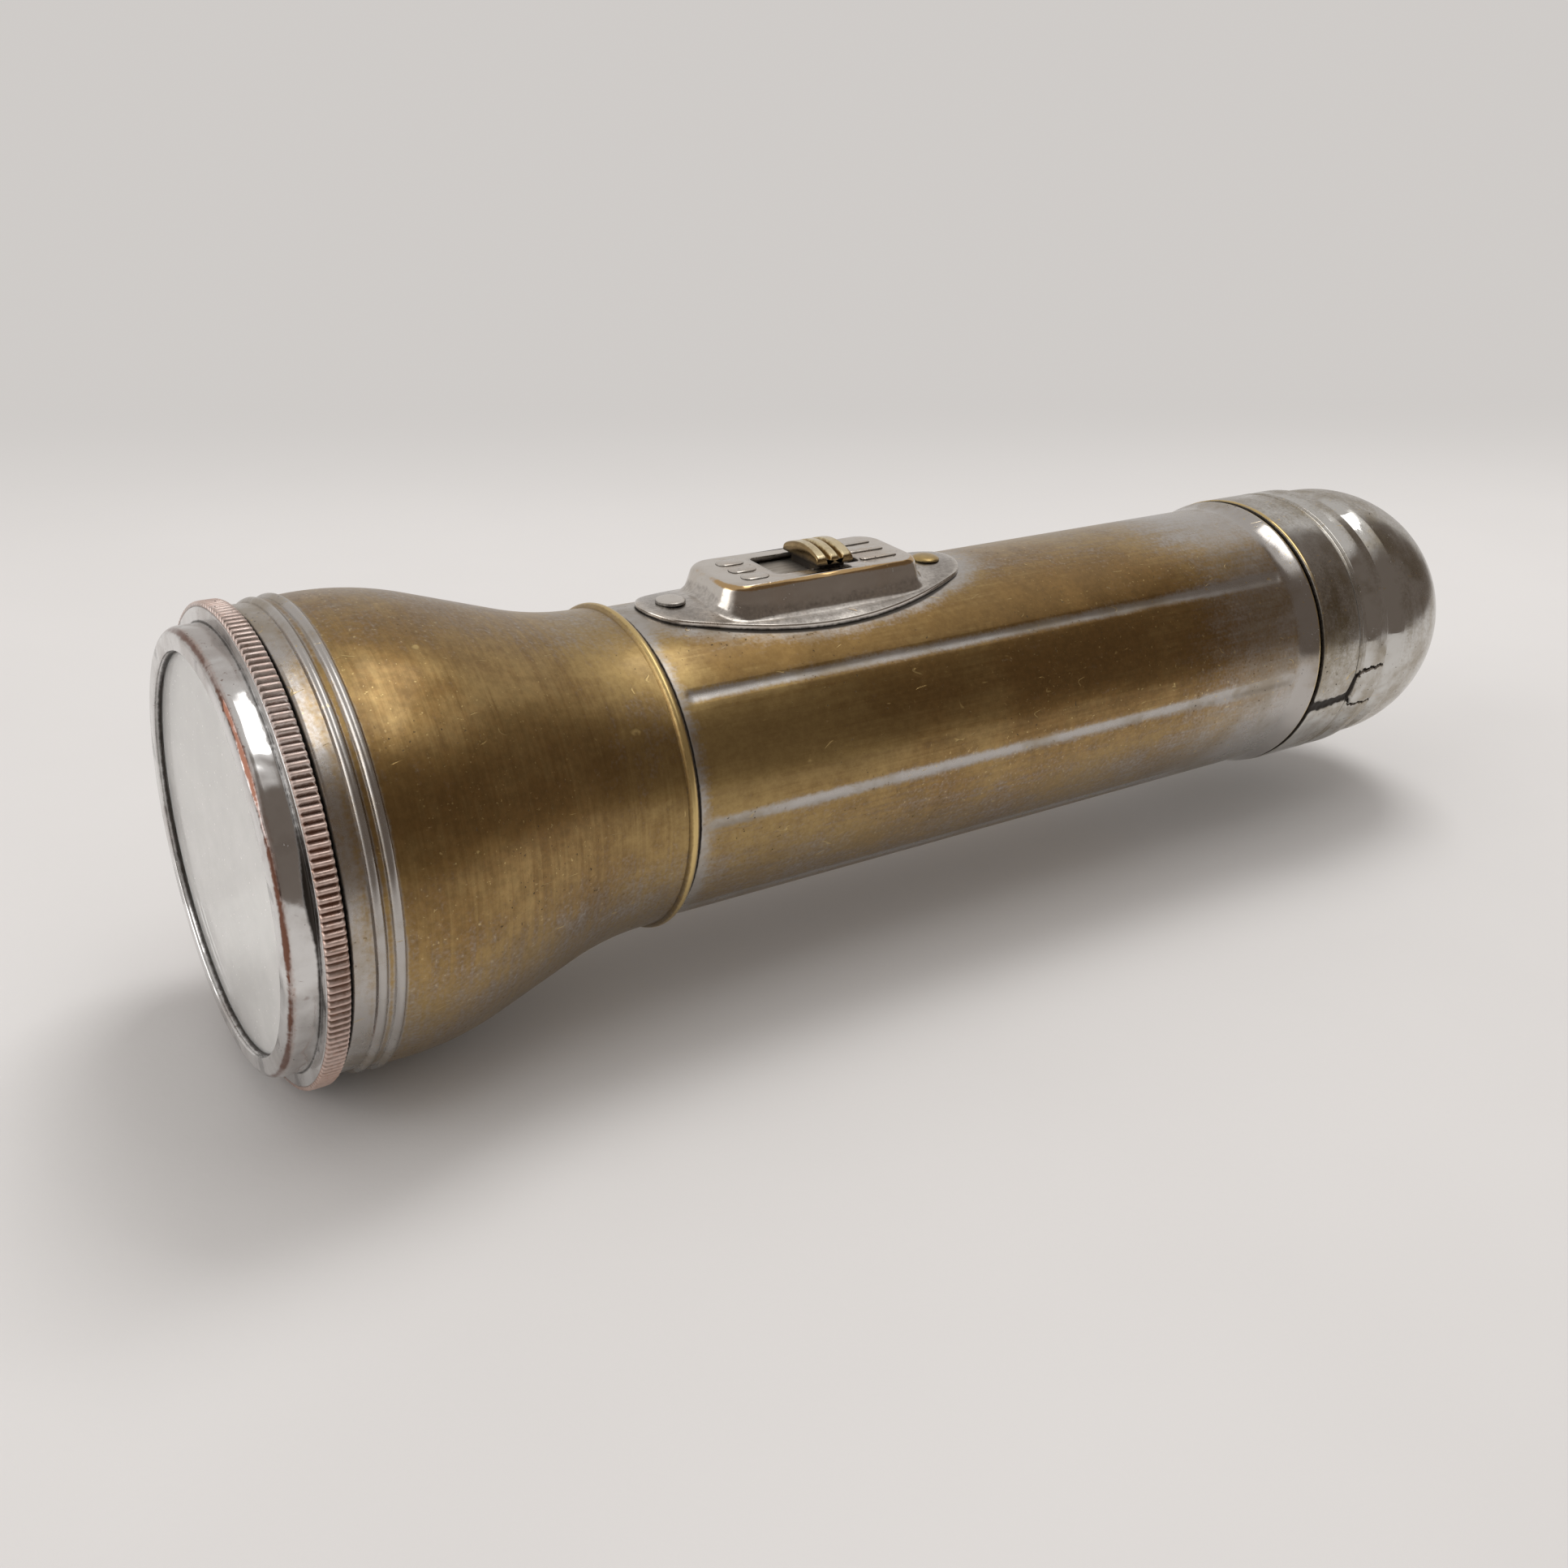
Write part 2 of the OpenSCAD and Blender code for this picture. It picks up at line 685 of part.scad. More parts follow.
// Saddle plate and raised housing, one stamping
module switch_plate() {
    color("gray")
        difference() {
            union() {
                intersection() {
                    turned()
                        band(plate_r, plate_top_r, 0, overall_l);
                    at_s(switch_s)
                        linear_extrude(far)
                            oval(plate_l, plate_w, plate_end_r);
                }
                difference() {
                    housing_block(0);
                    turned()
                        band(0, plate_r, 0, overall_l);
                }
            }
            housing_block(plate_t);
            at_s(slot_front_s)
                translate([0, -slot_w / 2, 0])
                    cube([slot_l, slot_w, far]);
            rivet_holes();
        }
    color("gray")
        dashes();
}

// Stamped dashes on the roof, three in front of the slot and three behind it
module dashes() {
    dash_s = dash_l / 2 + dash_w;
    root_z = roof_z - plate_t / 2;
    for (s = [slot_front_s - dash_s, slot_end_s + dash_s], row = [-1 : 1])
        at_s(s)
            translate([0, row * dash_pitch, root_z])
                linear_extrude(plate_t / 2 + dash_h) {
                    square([dash_l - dash_w, dash_w], center = true);
                    for (side = [-1, 1])
                        translate([side * (dash_l - dash_w) / 2, 0])
                            circle(d = dash_w, $fn = 24);
                }
}

// Two rivets through the plate, the barrel and the fibre liner
module switch_rivets() {
    ball_r = (pow(rivet_head_d / 2, 2) + pow(rivet_head_h, 2)) / (2 * rivet_head_h);
    inner_z = sqrt(pow(liner_r - liner_t, 2) - pow(rivet_head_d / 2, 2)) - seat_gap;
    color("darkkhaki")
        for (side = [-1, 1])
            at_s(switch_s + side * rivet_pitch / 2) {
                translate([0, 0, inner_z - rivet_head_h / 2])
                    cylinder(h = plate_top_r - inner_z + rivet_head_h, d = rivet_d);
                translate([0, 0, plate_top_r + seat_gap])
                    intersection() {
                        translate([0, 0, rivet_head_h - ball_r])
                            sphere(ball_r);
                        cylinder(h = far, d = rivet_head_d);
                    }
                translate([0, 0, inner_z - rivet_head_h])
                    cylinder(h = rivet_head_h, d = rivet_head_d);
            }
}

// Button: arched across, with two grooves between three ribs, and the neck through the slot
module thumb_slide() {
    half = button_w / 2;
    arch_r = (half * half + button_rise * button_rise) / (2 * button_rise);
    arch_z = button_z + button_side_h + button_rise - arch_r;
    groove_bed_r = arch_r - groove_depth;
    color("tan")
        at_s(button_s) {
            difference() {
                intersection() {
                    translate([-button_l / 2, -half, button_z])
                        cube([button_l, button_w, button_side_h + button_rise]);
                    translate([0, 0, arch_z])
                        rotate([0, 90, 0])
                            cylinder(h = button_l, r = arch_r, center = true);
                }
                for (side = [-1, 1])
                    translate([side * button_l / 6, 0, button_z])
                        difference() {
                            translate([-groove_w / 2, -half - over, 0])
                                cube([groove_w, button_w + 2 * over, far]);
                            translate([0, 0, arch_z - button_z])
                                rotate([0, 90, 0])
                                    cylinder(h = groove_w + 2 * over, r = groove_bed_r, center = true);
                        }
            }
            translate([-neck_half, -slot_w / 2 + run_gap, shoe_z + shoe_t + seat_gap])
                cube([2 * neck_half, slot_w - 2 * run_gap, button_z - shoe_z - shoe_t]);
        }
}

// Shoe under the roof: wider than the slot, so it holds the button down
module slide_shoe() {
    color("slategray")
        translate([shoe_front_s - overall_l / 2, -shoe_w / 2, shoe_z])
            cube([shoe_end_s - shoe_front_s, shoe_w, shoe_t]);
}

// Leaf under the shoe, bent down through the barrel's window to meet the strip's end
module slide_contact() {
    top_z = shoe_z - seat_gap;
    tip_z = strip_r + run_gap + leaf_t;
    toe = 0.4;
    ramp_l = 2.2;
    foot_l = 4.4;
    color("orange")
        translate([-overall_l / 2, leaf_w / 2, 0])
            rotate([90, 0, 0])
                linear_extrude(leaf_w)
                    polygon(ribbon([
                        [leaf_tip_s - 2 * toe, tip_z + toe], [leaf_tip_s - toe, tip_z],
                        [leaf_tip_s + toe, tip_z],
                        [leaf_tip_s + toe + ramp_l, top_z], [leaf_tip_s + toe + ramp_l + foot_l, top_z]
                    ], leaf_t));
}

// Spring strip: curved under the barrel's sheet, then a free arm down to the socket's flange
module contact_strip() {
    arm_z = sqrt(pow(strip_r, 2) - pow(arm_w / 2, 2));
    touch_s = socket_s + socket_wall + run_gap;
    touch_z = arm_contact_d / 2;
    toe = 1.2;
    root_l = 5;
    color("chocolate")
        difference() {
            union() {
                intersection() {
                    turned()
                        band(strip_r - strip_t, strip_r, arm_s + 2 * over, strip_end_s);
                    translate([-far, -strip_w / 2, 0])
                        cube([2 * far, strip_w, far]);
                }
                translate([-overall_l / 2, arm_w / 2, 0])
                    rotate([90, 0, 0])
                        linear_extrude(arm_w)
                            polygon(ribbon([
                                [touch_s + toe / 2, touch_z - toe], [touch_s, touch_z],
                                [touch_s + toe, touch_z + toe], [arm_s, arm_z], [arm_s + root_l, arm_z]
                            ], strip_t));
            }
            rivet_holes(rivet_head_d + 4 * run_gap);
        }
}

// Fibre liner between the strip and the barrel, held by the rivets
module strip_insulator() {
    liner_end_s = switch_s + rivet_pitch / 2 + rivet_head_d;
    liner_w = strip_w + 1;
    opening_front_s = leaf_tip_s - slide_travel - 2;
    opening_l = slide_travel + 6;
    color("maroon")
        difference() {
            intersection() {
                turned()
                    band(liner_r - liner_t, liner_r, tube_front_s + over, liner_end_s);
                translate([-far, -liner_w / 2, 0])
                    cube([2 * far, liner_w, far]);
            }
            at_s(opening_front_s)
                translate([0, -window_w / 2, 0])
                    cube([opening_l, window_w, far]);
            rivet_holes();
        }
}

// Parts of a dry cell; the cells lie on the flutes at the barrel's bottom
cell_edge = 1;
module cell_body(i) {
    color("darkslategray")
        translate([0, 0, -cell_drop])
            turned()
                polygon([
                    [0, cell_s[i] + cell_cap_h + seat_gap],
                    [cell_r - cell_edge, cell_s[i] + cell_cap_h + seat_gap],
                    [cell_r, cell_s[i] + cell_cap_h + cell_edge],
                    [cell_r, cell_s[i] + cell_l - cell_base_h - seat_gap],
                    [0, cell_s[i] + cell_l - cell_base_h - seat_gap]
                ]);
}

module cell_cap(i) {
    cap_edge = 0.5;
    color("gold")
        translate([0, 0, -cell_drop])
            turned()
                polygon([
                    [0, cell_s[i]], [cell_cap_d / 2 - cap_edge, cell_s[i]],
                    [cell_cap_d / 2, cell_s[i] + cap_edge], [cell_cap_d / 2, cell_s[i] + cell_cap_h],
                    [0, cell_s[i] + cell_cap_h]
                ]);
}

module cell_base(i) {
    color("lightslategray")
        translate([0, 0, -cell_drop])
            turned()
                band(0, cell_r - cell_edge, cell_s[i] + cell_l - cell_base_h, cell_s[i] + cell_l);
}

module front_cell() { cell_body(0); }
module front_cell_cap() { cell_cap(0); }
module front_cell_base() { cell_base(0); }
module rear_cell() { cell_body(1); }
module rear_cell_cap() { cell_cap(1); }
module rear_cell_base() { cell_base(1); }

// The tail cap's profile at a depth under its outer surface
module cap_profile(depth) {
    difference() {
        union() {
            band(0, cap_r - depth, cap_lead, cap_lead + groove2_s);
            intersection() {
                translate([0, dome_mid_s])
                    circle(dome_r - depth);
                band(0, far, cap_lead + groove2_s, overall_l);
            }
        }
        translate([cap_r, cap_lead + groove1_s])
            circle(groove1 + depth, $fn = 24);
        translate([cap_r + groove2_r - groove2_depth, cap_lead + groove2_s])
            circle(groove2_r + depth, $fn = 48);
    }
}

// Tail cap: threaded band, two rolled grooves and a dome
module tail_cap() {
    color("lightsteelblue")
        turned()
            difference() {
                cap_profile(0);
                cap_profile(cap_wall);
                band(0, cap_r - cap_wall, cap_lead - over, cap_lead + over);
            }
}

// Conical spring, one turn inside the next: radius and station change steadily with the angle
spring_big_r = dome_r - cap_wall - spring_wire_d / 2 - run_gap / 2;
spring_s0 = cells_end_s + run_gap + spring_wire_d / 2;
spring_s1 = cap_lead + groove2_s + groove2_r + cap_wall + spring_wire_d / 2;
spring_rings = ceil(spring_turns * 8);
spring_sides = 6;
function spring_mid(i) =
    let (
        u = i / spring_rings,
        a = 360 * spring_turns * u,
        r = spring_small_r + (spring_big_r - spring_small_r) * u
    )
        [spring_s0 + (spring_s1 - spring_s0) * u, r * cos(a), r * sin(a)];
function spring_point(i, k) =
    let (a = 360 * spring_turns * i / spring_rings, b = 360 * k / spring_sides, out = [0, cos(a), sin(a)])
        spring_mid(i) + spring_wire_d / 2 * (cos(b) * out + sin(b) * [1, 0, 0]);

// Least distance between turns of the spring, wire to wire
spring_gap = min([for (i = [0 : spring_rings], j = [0 : spring_rings])
    if (j - i >= 5) norm(spring_mid(j) - spring_mid(i))]) - spring_wire_d;
echo(spring_gap = spring_gap);

module tail_spring() {
    last = spring_rings * spring_sides;
    points = [for (i = [0 : spring_rings], k = [0 : spring_sides - 1]) spring_point(i, k)];
    side = [for (i = [0 : spring_rings - 1], k = [0 : spring_sides - 1])
        let (a = i * spring_sides + k, b = i * spring_sides + (k + 1) % spring_sides)
            each [[a, b, a + spring_sides], [b, b + spring_sides, a + spring_sides]]];
    ends = [for (k = [1 : spring_sides - 2])
        each [[0, k + 1, k], [last, last + k, last + k + 1]]];
    color("dimgray")
        translate([-overall_l / 2, 0, 0])
            polyhedron(points, concat(side, ends));
}

bezel_ring();
retaining_ring();
lens();
lens_gasket();
reflector();
reflector_insulator();
bulb_socket();
bulb_base();
bulb_glass();
bulb_insulator();
bulb_tip();
bulb_filament();
head_shell();
body_tube();
switch_plate();
switch_rivets();
thumb_slide();
slide_shoe();
slide_contact();
contact_strip();
strip_insulator();
front_cell();
front_cell_cap();
front_cell_base();
rear_cell();
rear_cell_cap();
rear_cell_base();
tail_cap();
tail_spring();
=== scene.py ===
"""A two-cell flashlight of worn plated brass: its looks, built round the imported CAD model.

Lengths are in millimetres and become metres when a mesh is made. A station runs along the axis from the front
face of the lens ring. An angle runs round the axis from the switch on top towards the viewer's side.
"""

import math

import bpy
import numpy as np
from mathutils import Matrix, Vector


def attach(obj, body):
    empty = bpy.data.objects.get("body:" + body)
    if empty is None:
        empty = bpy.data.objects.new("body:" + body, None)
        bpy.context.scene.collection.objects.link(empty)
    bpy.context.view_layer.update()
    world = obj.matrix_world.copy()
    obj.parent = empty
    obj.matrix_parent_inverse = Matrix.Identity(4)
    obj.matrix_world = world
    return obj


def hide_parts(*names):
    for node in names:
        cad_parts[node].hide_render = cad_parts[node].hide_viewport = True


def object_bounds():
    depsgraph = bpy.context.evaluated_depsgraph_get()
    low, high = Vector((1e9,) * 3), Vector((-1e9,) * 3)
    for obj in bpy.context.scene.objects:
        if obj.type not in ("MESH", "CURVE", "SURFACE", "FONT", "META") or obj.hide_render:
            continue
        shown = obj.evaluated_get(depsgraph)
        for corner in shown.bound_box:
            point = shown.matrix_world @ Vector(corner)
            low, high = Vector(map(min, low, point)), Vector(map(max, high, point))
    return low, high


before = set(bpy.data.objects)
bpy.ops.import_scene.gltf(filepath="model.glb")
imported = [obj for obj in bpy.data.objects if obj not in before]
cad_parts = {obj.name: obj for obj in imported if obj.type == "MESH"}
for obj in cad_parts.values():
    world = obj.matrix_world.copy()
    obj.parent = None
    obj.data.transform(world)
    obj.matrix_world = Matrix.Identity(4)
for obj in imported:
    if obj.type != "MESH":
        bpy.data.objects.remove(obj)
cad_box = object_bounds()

# Stage
# A pale table under a large soft lamp, with the camera at the photo's viewing angle. A dark card on the
# camera's side stands for the dim room that the polished metal mirrors.
scene = bpy.context.scene
scene.view_settings.view_transform = "Standard"

camera = bpy.data.objects.new("camera", bpy.data.cameras.new("camera"))
camera.data.lens = 37.7085
camera.data.sensor_width = 36.0
camera.data.clip_start = 0.005
camera.location = (-0.129786, -0.160142, 0.083125)
camera.rotation_euler = [math.radians(a) for a in (64.72915, -2.11585, -32.89029)]
scene.collection.objects.link(camera)
scene.camera = camera


class Wire:
    """A shader socket that takes Python's operators: an expression on wires adds its Math nodes."""

    def __init__(self, tree, socket=None):
        self.tree = tree
        self.socket = socket

    def node(self, kind, settings=None, inputs=None, output=0):
        """Adds a node: its settings first, then a value or a link for each input socket."""
        node = self.tree.nodes.new("ShaderNode" + kind)
        for key, value in (settings or {}).items():
            setattr(node, key, value)
        for key, value in (inputs or {}).items():
            if isinstance(value, Wire):
                self.tree.links.new(value.socket, node.inputs[key])
            else:
                node.inputs[key].default_value = value
        return Wire(self.tree, node.outputs[output])

    def math(self, operation, first, second=0.0, clamp=False):
        """A Math node on one value or two."""
        return self.node("Math", {"operation": operation, "use_clamp": clamp}, {0: first, 1: second})

    def __add__(self, other):
        return self.math("ADD", self, other)

    def __radd__(self, other):
        return self.math("ADD", other, self)

    def __sub__(self, other):
        return self.math("SUBTRACT", self, other)

    def __rsub__(self, other):
        return self.math("SUBTRACT", other, self)

    def __mul__(self, other):
        return self.math("MULTIPLY", self, other)

    def __rmul__(self, other):
        return self.math("MULTIPLY", other, self)

    def clamp(self):
        """The value held between 0 and 1."""
        return self.math("ADD", self, 0.0, clamp=True)

    def step(self, low, high):
        """0 below low, 1 above high and a smooth rise between them."""
        values = {0: self, 1: low, 2: high, 3: 0.0, 4: 1.0}
        return self.node("MapRange", {"interpolation_type": "SMOOTHSTEP"}, values)

    def blend(self, first, second):
        """A colour between two colours, with this value as the share of the second."""
        first, second = ((*c, 1) if isinstance(c, tuple) else c for c in (first, second))
        return self.node("Mix", {"data_type": "RGBA"}, {0: self, 6: first, 7: second}, output=2)

    def attribute(self, name):
        """A value that the mesh holds at its points."""
        return self.node("Attribute", {"attribute_name": name}, output=2)

    def noise(self, scale, detail=3.0, roughness=0.55, turn=(0, 0, 0)):
        """Cloudy noise in the piece's own space, which is turned first.

        The scale gives the clouds in a metre: one number, or one each along X, Y and Z.
        """
        scale = scale if isinstance(scale, tuple) else (scale,) * 3
        place = self.node("TexCoord", output=3)
        if any(turn):
            place = self.node("Mapping", {}, {0: place, 2: turn})
        place = self.node("Mapping", {}, {0: place, 3: scale})
        values = {"Vector": place, "Scale": 1.0, "Detail": detail, "Roughness": roughness}
        return self.node("TexNoise", {}, values)


def new_material(name):
    """An empty material; gives the material, a wire to add nodes with, and its output node."""
    material = bpy.data.materials.new(name)
    material.use_nodes = True
    material.node_tree.nodes.clear()
    output = material.node_tree.nodes.new("ShaderNodeOutputMaterial")
    return material, Wire(material.node_tree), output


def show(shader, output):
    """Links a shader to the output of a material or of the world."""
    shader.tree.links.new(shader.socket, output.inputs["Surface"])


def stage_mesh(name, points, faces, material):
    """An object that belongs to the stage and not to the flashlight."""
    mesh = bpy.data.meshes.new(name)
    mesh.from_pydata(points, [], faces)
    mesh.materials.append(material)
    item = bpy.data.objects.new(name, mesh)
    scene.collection.objects.link(item)
    return item


floor_z = cad_box[0][2]
floor_half = 6.0
floor_corners = [(x * floor_half, y * floor_half, floor_z) for x, y in ((-1, -1), (1, -1), (1, 1), (-1, 1))]
floor_material, wire, output = new_material("painted_table")
cloud = wire.noise(9, 4.0).step(0.3, 0.7)
grain = wire.noise(900, 2.0)
wall_colour = (0.625, 0.60, 0.58, 1)
place = wire.node("TexCoord", output=3)
east, north = (wire.node("SeparateXYZ", {}, {0: place}, output=i) for i in (0, 1))
wall_way = (0.37, 0.929)
behind = (east * wall_way[0] + north * wall_way[1]).step(0.11, 0.30)
far_out = wire.math("SQRT", east * east + north * north).step(0.5, 1.0)
table = wire.node("BsdfPrincipled", {}, {
    "Base Color": cloud.blend((0.60, 0.585, 0.575), (0.62, 0.605, 0.595)), "Roughness": 0.65,
    "Normal": wire.node("Bump", {}, {"Strength": 0.05, "Distance": 0.0005, "Height": grain})})
wall = wire.node("Emission", {}, {"Color": wall_colour, "Strength": 1.0})
show(wire.node("MixShader", {}, {0: wire.math("MAXIMUM", behind, far_out), 1: table, 2: wall}), output)
stage_mesh("floor", floor_corners, [(0, 1, 2, 3)], floor_material)

world = bpy.data.worlds.new("studio")
scene.world = world
world.use_nodes = True
world.node_tree.nodes.clear()
wire = Wire(world.node_tree)
glow = wire.node("Background", {}, {"Color": wall_colour, "Strength": 1.0})
show(glow, world.node_tree.nodes.new("ShaderNodeOutputWorld"))


def lamp(name, place, width, length, power, mirrored=True):
    """A soft lamp at a place, turned to the middle of the flashlight; polished metal may mirror it."""
    data = bpy.data.lights.new(name, "AREA")
    data.shape = "RECTANGLE"
    data.size = width
    data.size_y = length
    data.energy = power
    item = bpy.data.objects.new(name, data)
    item.location = place
    item.rotation_euler = (-Vector(place)).to_track_quat("-Z", "X").to_euler()
    item.visible_glossy = mirrored
    scene.collection.objects.link(item)


lamp("ceiling_lamp", (0.385, -0.13, 1.4), 0.5, 1.05, 3.3)
lamp("softbox", (0.30, 0.25, 0.80), 0.35, 0.35, 3.8, mirrored=False)
lamp("front_fill", (-1.0, 0.05, 0.5), 0.8, 0.8, 3.6)


def grid_quads(grid):
    """The four-sided faces between neighbours in a grid of point numbers."""
    return np.stack([grid[:-1, :-1], grid[1:, :-1], grid[1:, 1:], grid[:-1, 1:]], axis=-1).reshape(-1, 4)


card_columns, card_rows = 41, 31
card_r, card_middle = 0.33, (0.05, 0, 0)
card_turn, card_lift = np.meshgrid(np.radians(np.linspace(-70, 105, card_columns)),
                                   np.radians(np.linspace(-4, 56, card_rows)))
card_way = np.stack([np.sin(card_turn) * np.cos(card_lift), -np.cos(card_turn) * np.cos(card_lift),
                     np.sin(card_lift)], axis=-1)
card_points = (card_r * card_way + card_middle).reshape(-1, 3)
card_faces = grid_quads(np.arange(card_turn.size).reshape(card_turn.shape))
side_fade = 1 - np.abs(np.linspace(-1, 1, card_columns)) ** 8
card_fade = side_fade * (1 - np.linspace(0, 1, card_rows)[:, None] ** 10)
card_material, wire, output = new_material("dark_card")
open_air = wire.node("BsdfTransparent")
dim_room = wire.node("Emission", {}, {"Color": (0.168, 0.14, 0.12, 1), "Strength": 1.0})
show(wire.node("MixShader", {}, {0: wire.attribute("fade").step(0.0, 0.8), 1: open_air, 2: dim_room}), output)
card = stage_mesh("dark_card", card_points.tolist(), card_faces.tolist(), card_material)
card.data.attributes.new("fade", "FLOAT", "POINT").data.foreach_set("value", card_fade.ravel())
for rays in ("visible_camera", "visible_shadow", "visible_diffuse"):
    setattr(card, rays, False)

# Barrel
# The handle: a nickel-plated brass tube, worn down to the brass, with flutes pressed in along it. Its front
# end is drawn in to sit inside the head's neck; its rear end is flared and then threaded for the tail cap.
half_length = round(cad_box[1][0] * 1000, 4)
tube_r = 19.0
tube_wall = 0.6
tube_front_s, lap_end_s, shoulder_s, tube_end_s = 42.461, 48.511, 150.463, 157.663
lap_r, shoulder_r, spigot_r = 18.7, 19.75, 18.95
flare_s, flare_l = 146.66, 3.2
flute_front_s, flute_end_s = 50.661, 145.063
flute_angles = np.radians(45.0 * np.arange(1, 8))
flute_depth = 0.14
flute_half = 1.15
thread_pitch = 1.5
thread_depth = 0.3
window_front_s, window_end_s, window_half = 63.711, 84.311, 2.7
switch_s, plate_half, plate_half_w = 74.011, 22.8, 9.1


def rounded(corners, radii, steps=7):
    """A closed line through corners, each turned into an arc of its radius.

    The arc's middle lies on the corner's bisector, at the radius over the sine of half the corner's angle.
    Its points swing from one side's foot to the other's. Corners may be arrays of points, one line for each.
    """
    p = np.asarray(corners, float)
    r = np.asarray(radii, float).reshape((-1,) + (1,) * (p.ndim - 1))
    unit = lambda v: v / np.maximum(np.linalg.norm(v, axis=-1, keepdims=True), 1e-9)
    back, ahead = unit(np.roll(p, 1, axis=0) - p), unit(np.roll(p, -1, axis=0) - p)
    half = np.arccos(np.clip((back * ahead).sum(-1, keepdims=True), -1, 1)) / 2
    reach = r / np.maximum(np.tan(half), 1e-6)
    middle = p + unit(back + ahead) * r / np.maximum(np.sin(half), 1e-6)
    start, end = p + back * reach - middle, p + ahead * reach - middle
    turn = np.clip(np.pi - 2 * half, 1e-6, np.pi - 1e-6)
    k = np.linspace(0, 1, steps).reshape((-1,) + (1,) * p.ndim)
    arc = (np.sin((1 - k) * turn) * start + np.sin(k * turn) * end) / np.sin(turn) + middle
    return np.moveaxis(arc, 1, 0).reshape((-1,) + p.shape[1:])


def round_angles(count):
    """Evenly spaced angles once round the axis."""
    return np.linspace(0, 2 * np.pi, count, endpoint=False)


def pairs(s, r):
    """Points of station and radius; either may be one number for all of them."""
    return np.stack(np.broadcast_arrays(s, r), axis=-1)


def turned(s, r, angles):
    """A surface turned about the axis: at every station y is -r sin(angle) and z is r cos(angle)."""
    s, r, angles = np.broadcast_arrays(s, r, angles)
    return np.stack([s, -r * np.sin(angles), r * np.cos(angles)], axis=-1)


def near(x, width):
    """A soft bump: 1 at 0, falling away as a bell curve over a width."""
    return np.exp(-(x / width) ** 2)


def ramp(x, low, high):
    """0 below low, 1 above high and a smooth rise between them."""
    t = np.clip((x - low) / (high - low), 0, 1)
    return t * t * (3 - 2 * t)


def thread_wave(s, angles, pitch):
    """A screw thread's rise, 0 to 1: a cosine that moves on by one pitch in a turn round the axis."""
    return 0.5 + 0.5 * np.cos(2 * np.pi * (s / pitch - angles / (2 * np.pi)))


def piece(name, body, nodes, finish, shells, crease=38, hole=None):
    """Makes an object of closed grids and lets it ride on a CAD body in place of CAD nodes.

    Each shell is a grid of points, rows by columns, whose rows and columns both join round, with a dictionary
    of masks over it. Points that fall together, as at a pole, become one. A shell whose volume, the sum of
    its triangles' signed tetrahedra, comes out negative is turned inside out. A hole drops some of the first
    shell's cells and adds the faces of its rim.
    """
    places, faces, masks, start = [], [], {}, 0
    for points, values in shells:
        rows, columns = points.shape[:2]
        grid = np.arange(rows * columns).reshape(rows, columns)
        quads = grid_quads(np.pad(grid, ((0, 1), (0, 1)), mode="wrap"))
        if hole is not None and start == 0:
            quads = np.concatenate([quads[hole[0].ravel()], hole[1]])
        flat = np.round(points.reshape(-1, 3), 5)
        spots, first, inverse = np.unique(flat, axis=0, return_index=True, return_inverse=True)
        quads = inverse.reshape(-1)[quads]
        a, b, c, d = (spots[quads[:, i]] for i in range(4))
        volume = (a * np.cross(b, c)).sum() + (a * np.cross(c, d)).sum()
        if volume < 0:
            quads = quads[:, ::-1]
        same = quads == np.roll(quads, -1, axis=1)
        faces += (quads[same.sum(1) == 0] + start).tolist()
        thin = same.sum(1) == 1
        faces += (quads[thin][~same[thin]].reshape(-1, 3) + start).tolist()
        places.append((spots - (half_length, 0, 0)) * 0.001)
        for mask, value in values.items():
            masks.setdefault(mask, []).append(np.broadcast_to(value, (rows, columns)).ravel()[first])
        start += len(spots)
    mesh = bpy.data.meshes.new(name)
    mesh.from_pydata(np.concatenate(places).tolist(), [], faces)
    for mask, values in masks.items():
        mesh.attributes.new(mask, "FLOAT", "POINT").data.foreach_set("value", np.concatenate(values))
    mesh.shade_smooth()
    mesh.set_sharp_from_angle(angle=math.radians(crease))
    mesh.materials.append(finish)
    item = bpy.data.objects.new(name, mesh)
    scene.collection.objects.link(item)
    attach(item, body)
    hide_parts(*nodes)


def principled(wire, output, settings):
    """Links a Principled shader with these values and wires to the output."""
    show(wire.node("BsdfPrincipled", {}, settings), output)


